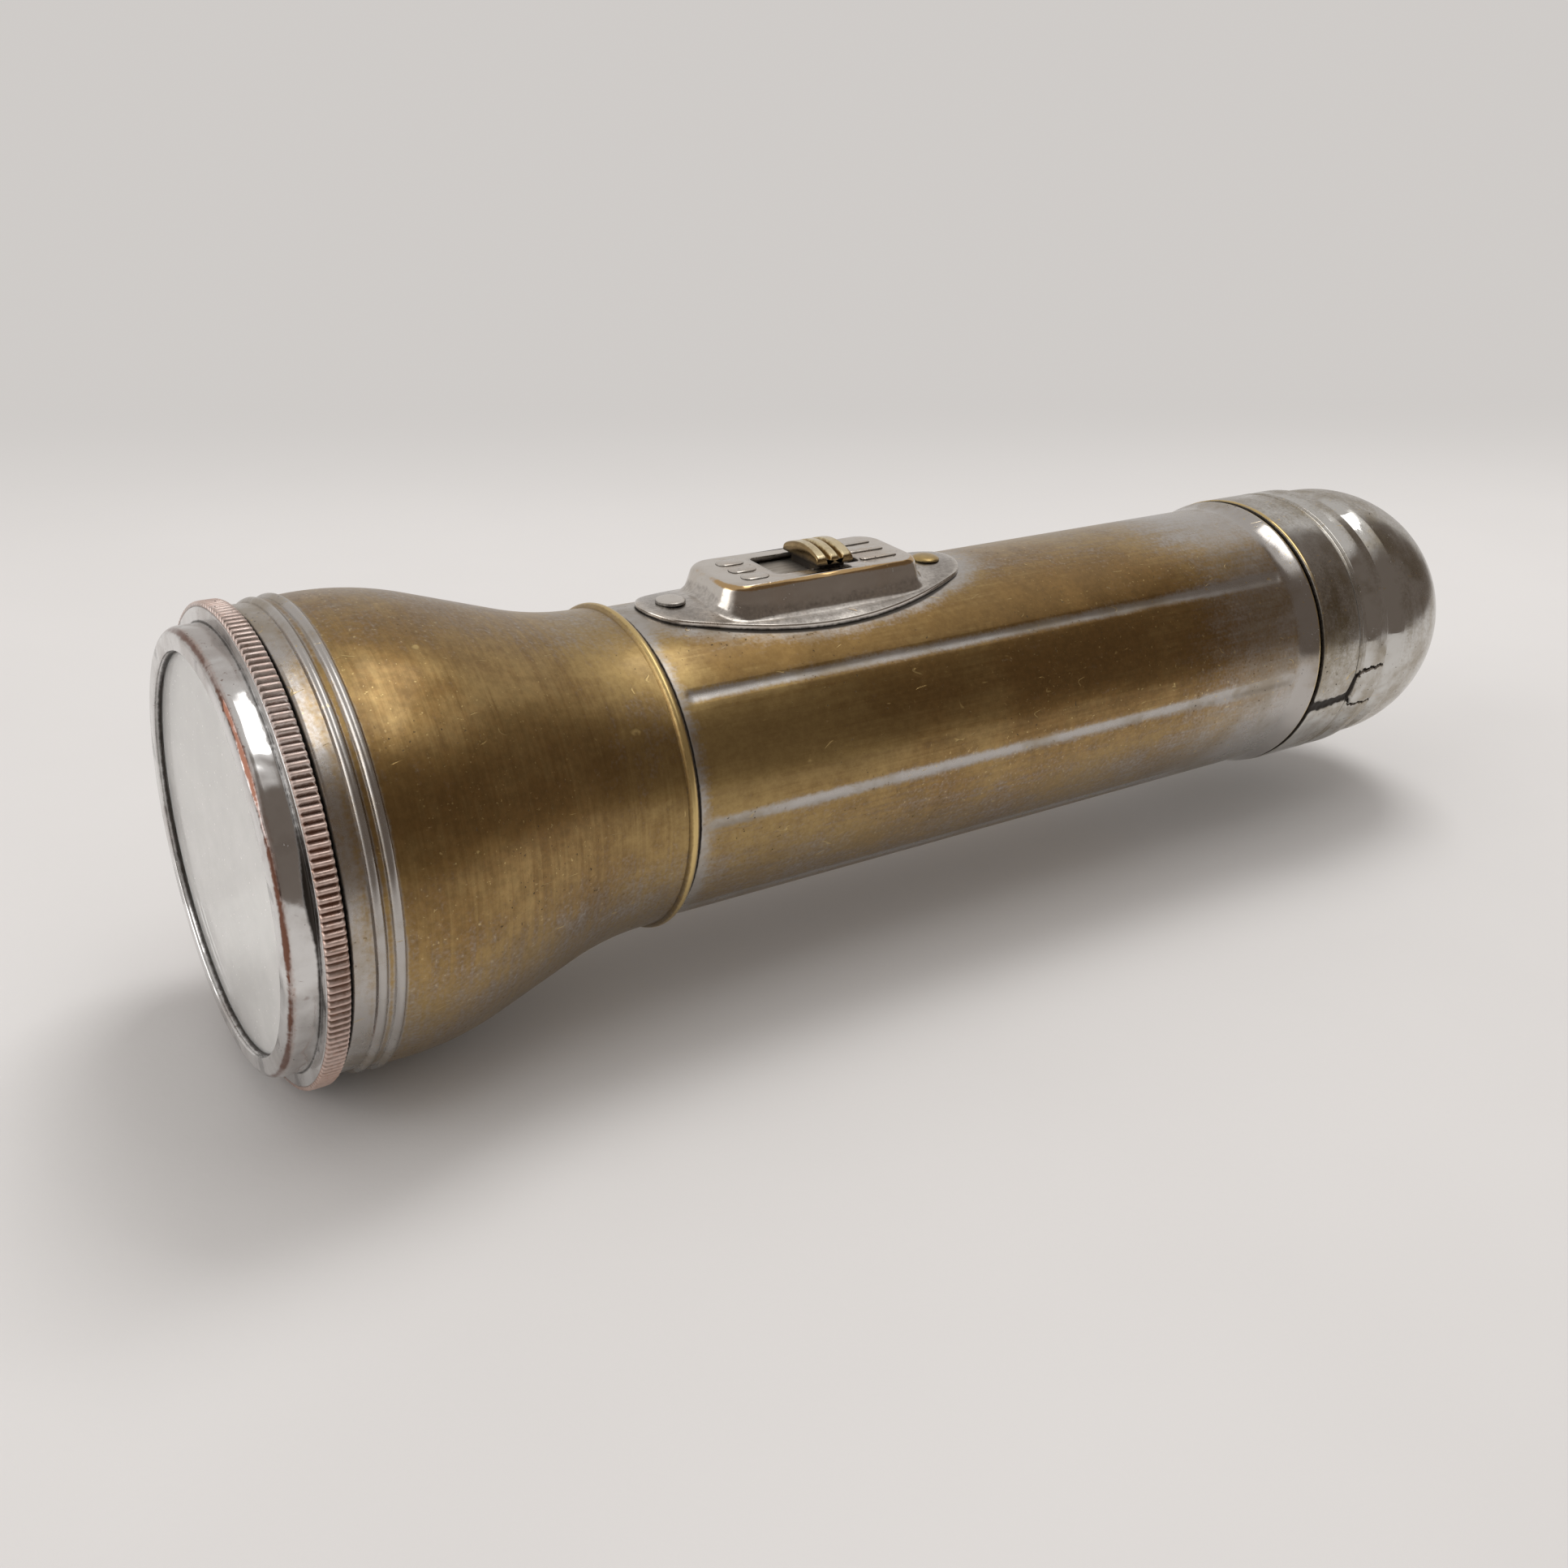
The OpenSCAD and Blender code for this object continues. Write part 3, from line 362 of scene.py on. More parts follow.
def plated(name, metal, tarnished, plating, dulled, rubbed, brushing, metal_roughness, plating_roughness,
           patches=0.5, dents=0.3, seam=False):
    """Plating worn through to the metal under it.

    The masks say where plating is left, where the metal is browner, where it is rubbed bright, where dirt and
    dust lie and where it is polished. The grime mask and the browner one also carry painted shade, and on the
    knurl the dust and rub masks carry painted highlight and shade. A seam adds a dark line of painted shade
    where the mask of the gap to an edge is near 0.
    Clouds of three sizes, brushing and flecks break up the masks' edges, the colours, the roughness and the
    surface, whose relief is in millimetres. Scratches run where a drawn-out noise passes through its middle
    value; pits and nicks lie where a fine one is lowest and highest.
    """
    material, wire, output = new_material(name)
    brush = wire.noise(brushing, 4.0, 0.6)
    cloud = wire.noise(80, 5.0, 0.6)
    drift = wire.noise(30, 2.0, 0.5)
    bloom = wire.noise((61, 97, 71), 4.0, 0.62)
    mottle = wire.noise(420, 4.0, 0.65)
    fleck = wire.noise(2400, 2.0, 0.5)
    scratch = 0.0
    for scale, turn in (((15, 500, 500), (0.0, 0.2, 0.3)), ((20, 700, 700), (0.1, -0.15, -0.4))):
        line = 1 - wire.math("ABSOLUTE", wire.noise(scale, 0.0, 0.5, turn) - 0.5).step(0.006, 0.018)
        sparse = wire.noise((340, 460, 460), 1.0, 0.5, turn).step(0.68, 0.75)
        scratch = line * sparse + scratch
    ragged = (mottle - 0.5) * 0.55 + (fleck - 0.5) * 0.55 + (brush - 0.5) * 0.5
    cover = (wire.attribute("plate") + (cloud - 0.5) * patches + ragged).step(0.1, 0.9)
    tarnish = cloud * 0.38 + drift * 0.24 + mottle * 0.18 + brush * 0.2
    tarnish = (tarnish + wire.attribute("brown") * 0.12).step(0.42, 0.58)
    colour = tarnish.blend(metal, tarnished)
    tint = drift.step(0.38, 0.62).blend((0.97, 0.99, 0.98), (1.02, 0.985, 0.96))
    grain = wire.noise(1300, 3.0, 0.7).step(0.36, 0.64)
    tint = grain.blend(tint, (0.85, 0.84, 0.82))
    multiply = {"data_type": "RGBA", "blend_type": "MULTIPLY"}
    colour = wire.node("Mix", multiply, {0: 1.0, 6: colour, 7: tint}, output=2)
    stain = (bloom * 0.8 + mottle * 0.2 - wire.attribute("gloss") * 0.05).step(0.46, 0.62)
    colour = cover.blend(colour, stain.blend(plating, dulled))
    nicks = fleck.step(0.68, 0.73) * drift.step(0.44, 0.60) * 0.7
    bright = (wire.attribute("rub") + ragged * 0.9).step(0.3, 0.8)
    bright = (bright + scratch * 0.6 + nicks).clamp()
    colour = bright.blend(colour, rubbed)
    dust = (wire.attribute("dust") + ragged * 0.6).step(0.2, 0.9)
    colour = dust.blend(colour, (0.62, 0.41, 0.33))
    pits = (1 - fleck).step(0.69, 0.74) * bloom.step(0.48, 0.58)
    # Dark where the grime mask is: real dirt, and painted shade in creases, grooves, joints and undersides.
    dirt_and_shade = (wire.attribute("grime_and_shade") + ragged * 0.5 + (cloud - 0.5) * 0.3).step(0.35, 0.85)
    dirt_and_shade = (dirt_and_shade + pits * 0.8).clamp()
    # The seam's dark line is painted shade along the join to an edge.
    if seam:
        crevice_shade = 1 - wire.math("ABSOLUTE", wire.attribute("edge_gap")).step(0.12, 0.4)
        dirt_and_shade = (dirt_and_shade + crevice_shade * 0.9).clamp()
    colour = dirt_and_shade.blend(colour, (0.022, 0.016, 0.011))
    roughness = metal_roughness + cover * (plating_roughness - metal_roughness + stain * 0.08) - bright * 0.05
    roughness = roughness + (mottle - 0.5) * 0.2 + (brush - 0.5) * 0.1 + dirt_and_shade * 0.3 + dust * 0.3
    roughness = roughness - wire.attribute("gloss") * 0.14
    height = wire.noise(110, 1.0, 0.4) * dents + wire.noise(300, 1.0, 0.4) * (dents * 0.2)
    height = height + mottle * (1 - cover * 0.6) * 0.02
    height = height + brush * (1 - cover * 0.7) * 0.006 + cover * 0.012 - scratch * 0.015 - pits * 0.03
    principled(wire, output, {
        "Base Color": colour, "Metallic": 1.0 - dirt_and_shade * 0.6 - dust * 0.7, "Roughness": roughness.clamp(),
        "Coat Weight": (0.25 - dirt_and_shade * 0.25).clamp(), "Coat Roughness": 0.14,
        "Normal": wire.node("Bump", {}, {"Strength": 1.0, "Distance": 0.001, "Height": height})})
    return material


brass = (0.402, 0.275, 0.112)
brown_brass = (0.26, 0.158, 0.055)
nickel = (0.49, 0.465, 0.44)
dull_nickel = (0.37, 0.32, 0.255)
gold = (0.66, 0.49, 0.21)
tube_finish = plated("worn_barrel_brass", brass, brown_brass, nickel, dull_nickel, gold, (60, 1800, 1800),
                     0.35, 0.28, seam=True)

end_rows = np.arange(-1.4, 1.5, 0.2)
tube_s = np.unique(np.round(np.concatenate([
    np.linspace(lap_end_s + 0.15, flute_front_s - 1.4, 6), flute_front_s + end_rows,
    np.linspace(flute_front_s + 2, flute_end_s - 2, 44), [window_front_s, window_end_s],
    flute_end_s + end_rows, [flare_s - 0.2]]), 4))
flare_share = np.linspace(0, 1, 10)
flare_line = pairs(flare_s + flare_l * flare_share, tube_r + (shoulder_r - tube_r) * flare_share ** 1.3)
shoulder = rounded([(flare_s, tube_r), (shoulder_s - 0.55, shoulder_r), (shoulder_s, shoulder_r - 0.3),
                    (shoulder_s, spigot_r)], (0, 0.5, 0.25, 0), 5)[5:]
spigot_s = np.arange(shoulder_s + 0.2, tube_end_s - 0.2, 0.15)
tube_outer = np.concatenate([
    [(tube_front_s, lap_r), (lap_end_s, lap_r), (lap_end_s, tube_r - 0.15)],
    pairs(tube_s, tube_r), flare_line[1:-1], shoulder, pairs(spigot_s, spigot_r),
    [(tube_end_s, spigot_r - 0.2)]])
inner_s = tube_s[(tube_s >= window_front_s) & (tube_s <= window_end_s)][::-1]
tube_inner = np.concatenate([
    [(tube_end_s, spigot_r - tube_wall), (shoulder_s, spigot_r - tube_wall),
     (shoulder_s - tube_wall, tube_r - tube_wall)],
    pairs(inner_s, tube_r - tube_wall),
    [(lap_end_s + tube_wall, tube_r - tube_wall), (lap_end_s + tube_wall, lap_r - tube_wall),
     (tube_front_s, lap_r - tube_wall)]])
flute_columns = (flute_angles[:, None] + np.arange(-2.2, 2.3, 0.2) / tube_r).ravel()
window_edge = math.asin(window_half / tube_r)
tube_angles = np.unique(np.round(np.concatenate([
    round_angles(120), flute_columns, [window_edge, 2 * np.pi - window_edge]]), 5))
tube_profile = np.concatenate([tube_outer, tube_inner])
s, r = tube_profile[:, :1], tube_profile[:, 1:]
outside = (np.arange(len(s)) < len(tube_outer))[:, None]
flute_gap = np.abs((tube_angles[:, None] - flute_angles + np.pi) % (2 * np.pi) - np.pi).min(axis=1) * tube_r
past_end = np.maximum(np.maximum(flute_front_s - s, s - flute_end_s), 0)
flute_reach = np.hypot(flute_gap, past_end)
groove = flute_depth * (1 - ramp(flute_reach, 0.0, flute_half))
thread_on = ramp(s, shoulder_s + 0.6, shoulder_s + 1.4) * ramp(tube_end_s - s, 0.1, 0.9)
thread = thread_depth * thread_wave(s, tube_angles, thread_pitch) * thread_on
tube_r_all = r - outside * (groove * (s < flare_s) + thread)
tube_points = turned(s, tube_r_all, tube_angles)

# The plating that is left round the switch plate's oval, along the flutes and at both ends, and the gap in
# millimetres to the oval's edge
across = tube_r * np.sin((tube_angles + np.pi) % (2 * np.pi) - np.pi)
on_top = np.cos(tube_angles) > 0
oval = np.hypot((s - switch_s) / plate_half, across / plate_half_w)
oval_slope = np.hypot((s - switch_s) / plate_half ** 2, across / plate_half_w ** 2) / np.maximum(oval, 0.1)
edge_gap = np.clip((oval - 1) / np.maximum(oval_slope, 0.01), -3, 3)
plate_halo = near(np.maximum(oval - 1, 0), 0.16) * on_top
flute_halo = near(flute_reach, 0.7) * (s < flare_s + 1)
neck_halo = near(s - lap_end_s, 1.6)
rear_halo = ramp(s, 120, 142) * 0.52 + ramp(s, 145.8, 147.4) * 0.5
# Paler plating colour along the top, and along the underside as painted light bounced up from the floor.
top_and_under_paling = 0.25 * ramp(np.cos(tube_angles), 0.86, 0.99) + 0.34 * ramp(-np.cos(tube_angles), -0.3, 0.5)
tube_masks = {
    "plate": np.clip(flute_halo * 0.95 + plate_halo * 0.62 + neck_halo * 0.65 + rear_halo + top_and_under_paling, 0, 1.1),
    "rub": near(s - (shoulder_s - 0.35), 0.35) * 0.9,
    "gloss": ramp(s, 145.6, 147.0),
    # The gap to the plate's oval gives a dark line of painted shade along the plate's edge.
    "edge_gap": np.where(on_top, edge_gap, 3),
    # Painted shade: a dark line where the head's neck meets the barrel, and the threaded end dark in the
    # cap's seam.
    "grime_and_shade": near(s - lap_end_s, 0.35) + 0.8 * (s > shoulder_s + 0.05),
    # A browner band about 32 degrees round from the top: painted shade that dims the lamp's reflection there.
    "brown": near(np.degrees(tube_angles) - 32, 18) * ramp(s, 50, 58) * ramp(-s, -135, -115)}
cells_in = lambda low, high, x: (x >= low) & (x < high)
window_rows = cells_in(window_front_s - 0.01, window_end_s - 0.01, s[:, 0]) & outside[:, 0]
window_rows |= cells_in(window_front_s + 0.01, window_end_s + 0.01, s[:, 0]) & ~outside[:, 0]
window_columns = (tube_angles < window_edge - 0.001) | (tube_angles > 2 * np.pi - window_edge - 0.001)
keep_cells = ~(window_rows[:, None] & window_columns)
tube_grid = np.arange(tube_points.shape[0] * len(tube_angles)).reshape(-1, len(tube_angles))
in_window = cells_in(window_front_s - 0.01, window_end_s + 0.01, s[:, 0])
outer_rows = np.flatnonzero(outside[:, 0] & in_window)
inner_rows = np.flatnonzero(~outside[:, 0] & in_window)[::-1]
slit = np.flatnonzero((np.abs(np.sin(tube_angles)) <= math.sin(window_edge) + 1e-4) & on_top)
edge_columns = np.sort(np.where(slit > len(tube_angles) // 2, slit - len(tube_angles), slit))


def rim_loop(rows):
    """The point numbers once round the window's edge: along one side, across, back and across again."""
    return np.concatenate([
        tube_grid[rows, edge_columns[0]], tube_grid[rows[-1], edge_columns[1:]],
        tube_grid[rows[::-1][1:], edge_columns[-1]], tube_grid[rows[0], edge_columns[::-1][1:]]])


rim_outer, rim_inner = rim_loop(outer_rows), rim_loop(inner_rows)
rim = np.stack([rim_outer[:-1], rim_outer[1:], rim_inner[1:], rim_inner[:-1]], axis=-1)
piece("barrel", "case", ["body_tube"], tube_finish, [(tube_points, tube_masks)], 30,
      (keep_cells, rim))

# Head
# The trumpet that carries the lamp, spun from brass sheet and plated like the barrel. Two beads rolled behind
# its mouth stiffen it, and a third at the neck grips the barrel's drawn-in end.
bell_wall = 0.6
mouth_s, bulge_s, neck_s, bell_end_s = 6.0, 14.2, 46.061, 48.461
mouth_r, bulge_r, neck_r = 25.7, 26.1, 19.35
bulge_arc, throat_arc, bell_slope = 34.0, 36.0, math.radians(18)
bead_r, bead_h = 0.6, 0.5
mouth_beads, neck_bead = (8.95, 10.8), 47.561


def lathe(profile, angles):
    """Turns a closed line of station and radius about the axis."""
    return turned(profile[:, :1], profile[:, 1:], angles)


def soft_max(a, b, blend):
    """The larger of two values, with the corner between them rounded over a blend."""
    return (a + b + np.sqrt((a - b) ** 2 + blend ** 2)) / 2


def bell_line(s):
    """The bell's radius: a plain mouth, an arc over the bulge, a straight slope and an arc into the neck."""
    bulge_end = bulge_s + bulge_arc * math.sin(bell_slope)
    throat_start = neck_s - throat_arc * math.sin(bell_slope)
    bulge = bulge_r - bulge_arc + np.sqrt(np.maximum(bulge_arc ** 2 - (s - bulge_s) ** 2, 0))
    slope = bulge_r - bulge_arc * (1 - math.cos(bell_slope)) - (s - bulge_end) * math.tan(bell_slope)
    throat = neck_r + throat_arc - np.sqrt(throat_arc ** 2 - np.clip(s - neck_s, -throat_arc, 0) ** 2)
    front = np.where(s < bulge_s, np.maximum(bulge, mouth_r), bulge)
    return np.where(s < bulge_end, front, np.where(s < throat_start, slope, throat))


def bead_line(s, middle, base_r):
    """A bead's radius: a half round of the bead's own radius that stands out of a base by its height."""
    reach = np.maximum(bead_r ** 2 - (s - middle) ** 2, 0)
    return np.where(reach > 0, base_r - bead_r + bead_h + np.sqrt(reach), 0)


head_finish = plated("worn_head_brass", brass, brown_brass, nickel, dull_nickel, gold, (1800, 60, 60),
                     0.36, 0.24)
bell_s = np.concatenate([
    np.linspace(mouth_s + 0.2, 8.2, 7), np.arange(8.3, 11.6, 0.08), np.arange(11.7, 46.4, 0.6),
    np.arange(46.5, bell_end_s - 0.12, 0.07)])
bell_r = bell_line(bell_s)
for bead, base_r in ((mouth_beads[0], mouth_r), (mouth_beads[1], mouth_r + 0.15), (neck_bead, neck_r)):
    bell_r = soft_max(bell_r, bead_line(bell_s, bead, base_r), 0.12)
bell_inner_s = np.concatenate([[bell_end_s], np.arange(46.0, mouth_s, -1.2), [mouth_s]])
bell_profile = np.concatenate([
    [(mouth_s, mouth_r - 0.2)], pairs(bell_s, bell_r), [(bell_end_s, neck_r - 0.25)],
    pairs(bell_inner_s, bell_line(bell_inner_s) - bell_wall)])
bell_angles = round_angles(200)
s = bell_profile[:, :1]
top = np.cos(bell_angles)
bead_feet = [b + side * 0.62 for b in (*mouth_beads, neck_bead) for side in (-1, 1)]
mouth_plate = 0.62 * (1 - ramp(s, 11.0, 11.8)) + 0.45 * sum(near(s - b, 0.4) for b in mouth_beads)
mouth_plate = mouth_plate - 0.2 * near(s - 8.0, 0.5) - 0.5 * near(s - 9.87, 0.32)
# The plate mask is paler along the top and, as painted light bounced up from the floor, along the underside.
top_plate = 0.15 * near(s - 43, 5.0) * ramp(top, 0.1, 0.8) + 0.22 * ramp(top, 0.86, 0.99)
head_masks = {
    "plate": mouth_plate + top_plate + 0.36 * ramp(-top, -0.3, 0.5),
    "rub": near(s - neck_bead, 0.4) * 1.1 + 0.25 * near(s - 9.9, 0.25),
    # Painted shade: dark lines at the beads' feet, at the mouth where the lens ring enters and at the neck's
    # end.
    "grime_and_shade": sum(near(s - f, 0.13) for f in bead_feet) * 0.55 + near(s - mouth_s, 0.25) * 0.8
    + near(s - bell_end_s, 0.2)}
piece("head", "case", ["head_shell"], head_finish,
      [(lathe(bell_profile, bell_angles), head_masks)], 50)

# Switch plate
# A saddle of nickel-plated brass pressed in one blow: an oval plate on the barrel, a leaning housing drawn up
# out of it, and a slot in the roof for the button. Six stamped dashes stand on the roof.
plate_r, plate_top_r, plate_t = 19.05, 19.65, 0.6
plate_end_r = 5.5
housing_half, housing_half_w, housing_corner = 15.3, 7.2, 4.2
foot_z, roof_z, housing_lean = 17.1, 22.2, 1.5
slot_half, slot_half_w = 6.0, 3.4
dash_h, dash_pitch, dash_reach = 0.25, 2.9, 9.0


def all_round(quarter):
    """A closed outline from its quarter between the two axes, mirrored into the other three."""
    quarters = [quarter[:-1], (quarter * (-1, 1))[::-1][:-1], -quarter[:-1], (quarter * (1, -1))[::-1][:-1]]
    return np.concatenate(quarters)


def corner_box(half, half_w, corner):
    """A rounded rectangle's outline: an end, a corner's arc and a side, with as many points at any size."""
    turn = np.linspace(0, np.pi / 2, 13)
    end = pairs(half, np.linspace(0, half_w - corner, 8))[:-1]
    arc = pairs(half - corner + corner * np.cos(turn), half_w - corner + corner * np.sin(turn))
    side = pairs(np.linspace(half - corner, 0, 16), half_w)[1:]
    return all_round(np.concatenate([end, arc, side]))


def plate_outline(like):
    """The plate's oval: an end arc and a wide side arc, with its points at the same shares as another's."""
    reach = plate_half - plate_end_r
    side_r = (reach ** 2 + plate_half_w ** 2 - plate_end_r ** 2) / (2 * (plate_half_w - plate_end_r))
    meet = math.atan2(side_r - plate_half_w, reach)
    end_turn, side_turn = np.linspace(0, meet, 40), np.linspace(meet, np.pi / 2, 60)[1:]
    line = np.concatenate([
        pairs(reach + plate_end_r * np.cos(end_turn), plate_end_r * np.sin(end_turn)),
        pairs(side_r * np.cos(side_turn), plate_half_w - side_r + side_r * np.sin(side_turn))])
    run = lambda p: np.concatenate([[0], np.cumsum(np.linalg.norm(np.diff(p, axis=0), axis=1))])
    quarter = like[:len(like) // 4 + 1]
    share = run(quarter) / run(quarter)[-1] * run(line)[-1]
    return all_round(np.stack([np.interp(share, run(line), c) for c in line.T], axis=-1))


def on_barrel(outline, radius):
    """Lifts an outline on to a cylinder round the axis: z squared is the radius squared less y squared."""
    return np.column_stack([outline, np.sqrt(radius ** 2 - outline[:, 1] ** 2)])


def at_height(outline, z):
    """Lifts an outline to one height."""
    return np.column_stack([outline, np.full(len(outline), z)])


def leaning(z, inset=0.0):
    """The housing's outline at the heights of its columns: it draws in evenly from its foot to its roof."""
    lean = housing_lean * (z - foot_z) / (roof_z - foot_z) + inset
    far_in = 3.0
    outer, inner = (corner_box(housing_half - d, housing_half_w - d, housing_corner - d) for d in (0, far_in))
    return outer + (inner - outer) * (lean / far_in)[:, None]


foot_line = corner_box(housing_half, housing_half_w, housing_corner)
columns = len(foot_line)
top_z = np.sqrt(plate_top_r ** 2 - foot_line[:, 1] ** 2)
under_z = np.sqrt(plate_r ** 2 - foot_line[:, 1] ** 2)
edge_line = plate_outline(foot_line)
slot_line = corner_box(slot_half, slot_half_w, 0.7)
plate_edge, plate_under = on_barrel(edge_line, plate_top_r), on_barrel(edge_line, plate_r)
foot = np.column_stack([leaning(top_z), top_z])
foot_under = np.column_stack([leaning(under_z, plate_t), under_z])
roof = at_height(leaning(np.full(columns, roof_z)), roof_z)
roof_under = at_height(leaning(np.full(columns, roof_z - plate_t), plate_t), roof_z - plate_t)
slot, slot_under = at_height(slot_line, roof_z), at_height(slot_line, roof_z - plate_t)
corner_steps, corner_count = 7, 14
between = lambda a, b, share: a + (b - a) * share
plate_mid = [on_barrel(between(edge_line, foot[:, :2], k), plate_top_r) for k in (0.1, 0.28, 0.44)]
plate_rows = rounded(
    [plate_under, plate_edge, *plate_mid, foot, between(foot, roof, 0.6), roof, between(roof, slot, 0.25),
     between(roof, slot, 0.85), slot, slot_under, roof_under, foot_under],
    (0.1, 0.25, 0, 0, 0, 1.4, 0, 1.1, 0, 0, 0.12, 0.1, 0.45, 0.3), corner_steps)
plate_points = plate_rows + (switch_s, 0, 0)
plate_turn = np.arctan2(foot_line[:, 1] / housing_half_w, foot_line[:, 0] / housing_half)
near_side = ramp(-np.sin(plate_turn), -0.2, 0.6)
by_corner = lambda *values: np.repeat(np.array(values, float), corner_steps)[:, None]
worn_edge = np.tile(np.sin(np.linspace(0.1, 3.04, corner_steps)) ** 2, corner_count)[:, None]
plate_masks = {
    "plate": by_corner(1, 0.8, 0.5, 0.4, 0.4, 0.6, 1, 0.9, 1.05, 1, 0.6, 0.3, 1, 1),
    "rub": (by_corner(0, 0.1, 0, 0, 0, 0, 0, 0.35, 0, 0, 0.1, 0, 0, 0)
            + by_corner(0, 0, 0, 0, 0, 0, 0, 0.75, 0, 0, 0, 0, 0, 0) * near_side) * worn_edge,
    # Grime darkens the plate's face a little and, as painted shade, the crease under its edge, the slot and
    # the undersides.
    "grime_and_shade": by_corner(0.8, 0.35, 0.15, 0.2, 0.25, 0.25, 0.15, 0, 0.1, 0.2, 0.5, 0.8, 0.6, 0.6)}


def dash(length, width):
    """A long low swelling on the roof: a half ellipse's outline drawn in towards its top, on a sunk base."""
    turn, swell = np.meshgrid(round_angles(28), np.linspace(0, np.pi / 2, 6))
    draw_in = np.cos(swell) ** 0.6
    shift = np.sign(np.round(np.cos(turn), 6)) * (length - width) / 2 * (swell < np.pi / 2 - 0.01)
    form = np.stack([width / 2 * np.cos(turn) * draw_in + shift, width / 2 * np.sin(turn) * draw_in,
                     roof_z + dash_h * np.sin(swell)], axis=-1)
    base = form[:1] * (1, 1, 0) + (0, 0, roof_z - 0.2)
    pole, top = (np.broadcast_to((0, 0, roof_z + h), base.shape) for h in (-0.2, dash_h))
    return np.concatenate([pole, base, form[:-1], top])


dash_rise = np.concatenate([[0, 0], np.sin(np.linspace(0, np.pi / 2, 6))])[:, None]
# A dark ring of painted shade round each dash's foot.
dash_masks = {"plate": 0.85, "rub": 0.3 * dash_rise, "grime_and_shade": 0.95 * near(dash_rise - 0.12, 0.3)}
dashes = [(dash(length, width) + (switch_s + end * dash_reach, row * dash_pitch, 0), dash_masks)
          for end, length, width in ((-1, 3.7, 2.1), (1, 5.4, 1.2)) for row in (-1, 0, 1)]
stained_nickel = (0.68, 0.64, 0.59)
plate_finish = plated("stained_switch_nickel", (0.33, 0.30, 0.275), (0.21, 0.185, 0.165), stained_nickel,
                      (0.60, 0.53, 0.46), (0.54, 0.36, 0.17), (160, 1500, 1500), 0.28, 0.17, 0.6, 0.6)
piece("switch_saddle", "case", ["switch_plate"], plate_finish,
      [(plate_points, plate_masks), *dashes], 42)

# Rivets
# Two rivets hold the saddle to the barrel. Their shanks pass through plate, tube and liner and are set over
# inside. The front one has kept its nickel; the rear one is bare brass.
rivet_head_r, rivet_head_h, rivet_shank_r, rivet_pitch = 1.8, 0.6, 1.2, 37.6
liner_under_r, seat_gap = 17.75, 0.05
rivet_inner_z = math.sqrt(liner_under_r ** 2 - rivet_head_r ** 2) - seat_gap
rivet_end_z = rivet_inner_z - rivet_head_h


def upright(profile, s):
    """Turns a line of radius and height about an upright axis at a station."""
    angles = round_angles(48)
    r, z = (np.broadcast_to(profile[:, i:i + 1], (len(profile), len(angles))) for i in (0, 1))
    return np.stack([s + r * np.cos(angles), r * np.sin(angles), z], axis=-1)


head_z = plate_top_r + seat_gap
swell = np.linspace(0, np.pi / 2, 9)
rivet_dome = pairs(rivet_head_r * np.sin(swell), head_z + rivet_head_h * np.cos(swell))
flattened = 0.7 * np.cos(swell) ** 0.35 + 0.06 * np.cos(swell)
rivet_flat = pairs(rivet_head_r * np.sin(swell) ** 0.6, head_z + rivet_head_h * flattened)
rivet_below = np.array([
    (rivet_head_r - 0.1, head_z - 0.04), (rivet_shank_r, head_z - 0.04), (rivet_shank_r, rivet_inner_z),
    (rivet_head_r, rivet_inner_z - 0.05), (rivet_head_r, rivet_end_z + 0.2),
    (rivet_head_r - 0.3, rivet_end_z), (0, rivet_end_z)])
rivets = []
for side, rivet_top, kept, rubbed in ((-1, rivet_flat, 1.0, 0.1), (1, rivet_dome, 0.0, 0.35)):
    rivet_line = np.concatenate([rivet_top, rivet_below])
    # A dark ring of painted shade round each head's rim, where it meets the plate.
    rivet_rim_shade = near(rivet_line[:, :1] - rivet_head_r, 0.18) * (rivet_line[:, 1:] > head_z - 0.1)
    rivets.append((upright(rivet_line, switch_s + side * rivet_pitch / 2),
                   {"plate": kept, "rub": rubbed, "grime_and_shade": rivet_rim_shade * 0.7}))
rivet_finish = plated("rivet_brass", (0.52, 0.37, 0.15), (0.36, 0.24, 0.09), stained_nickel, dull_nickel,
                      gold, 500, 0.34, 0.26, 0.2)
piece("plate_rivets", "case", ["switch_rivets"], rivet_finish, rivets, 35)

# Thumb slide
# A cast brass button with three cross ribs. Its neck passes down through the slot to the shoe, a
# nickel strip under the roof that keeps the slot shut and carries the contact leaf.
button_s, button_z, button_half, button_half_w = 75.911, 22.5, 2.6, 3.8
button_side_h, button_rise, groove_w, groove_depth = 0.9, 0.95, 0.5, 0.7
arch_r = (button_half_w ** 2 + button_rise ** 2) / (2 * button_rise)
button_across = np.concatenate([[-1, -1, -0.985, -0.95], np.linspace(-0.9, 0.9, 31), [0.95, 0.985, 1, 1]])
button_y = button_half_w * button_across
end_round = np.sqrt(np.clip(1 - (np.clip(np.abs(button_across) - 0.9, 0, 0.1) / 0.1) ** 2, 0, 1))
edge_round = 0.3
edge_curl = edge_round * (1 - np.cos(np.linspace(0, np.pi / 2, 6)))
button_x = np.concatenate([
    edge_curl - button_half, np.linspace(-2.2, 2.2, 67), button_half - edge_curl[::-1]])
past_edge = np.clip(np.abs(button_x) - (button_half - edge_round), 0, edge_round) / edge_round
edge_fall = edge_round * (1 - np.sqrt(1 - past_edge ** 2))
rib_gap = np.minimum(np.abs(button_x - button_half / 3), np.abs(button_x + button_half / 3))
groove_fall = groove_depth * (1 - ramp(rib_gap, 0.08, groove_w / 2 + 0.22))
arch_z = button_z + button_side_h + button_rise - arch_r + np.sqrt(arch_r ** 2 - button_y ** 2)
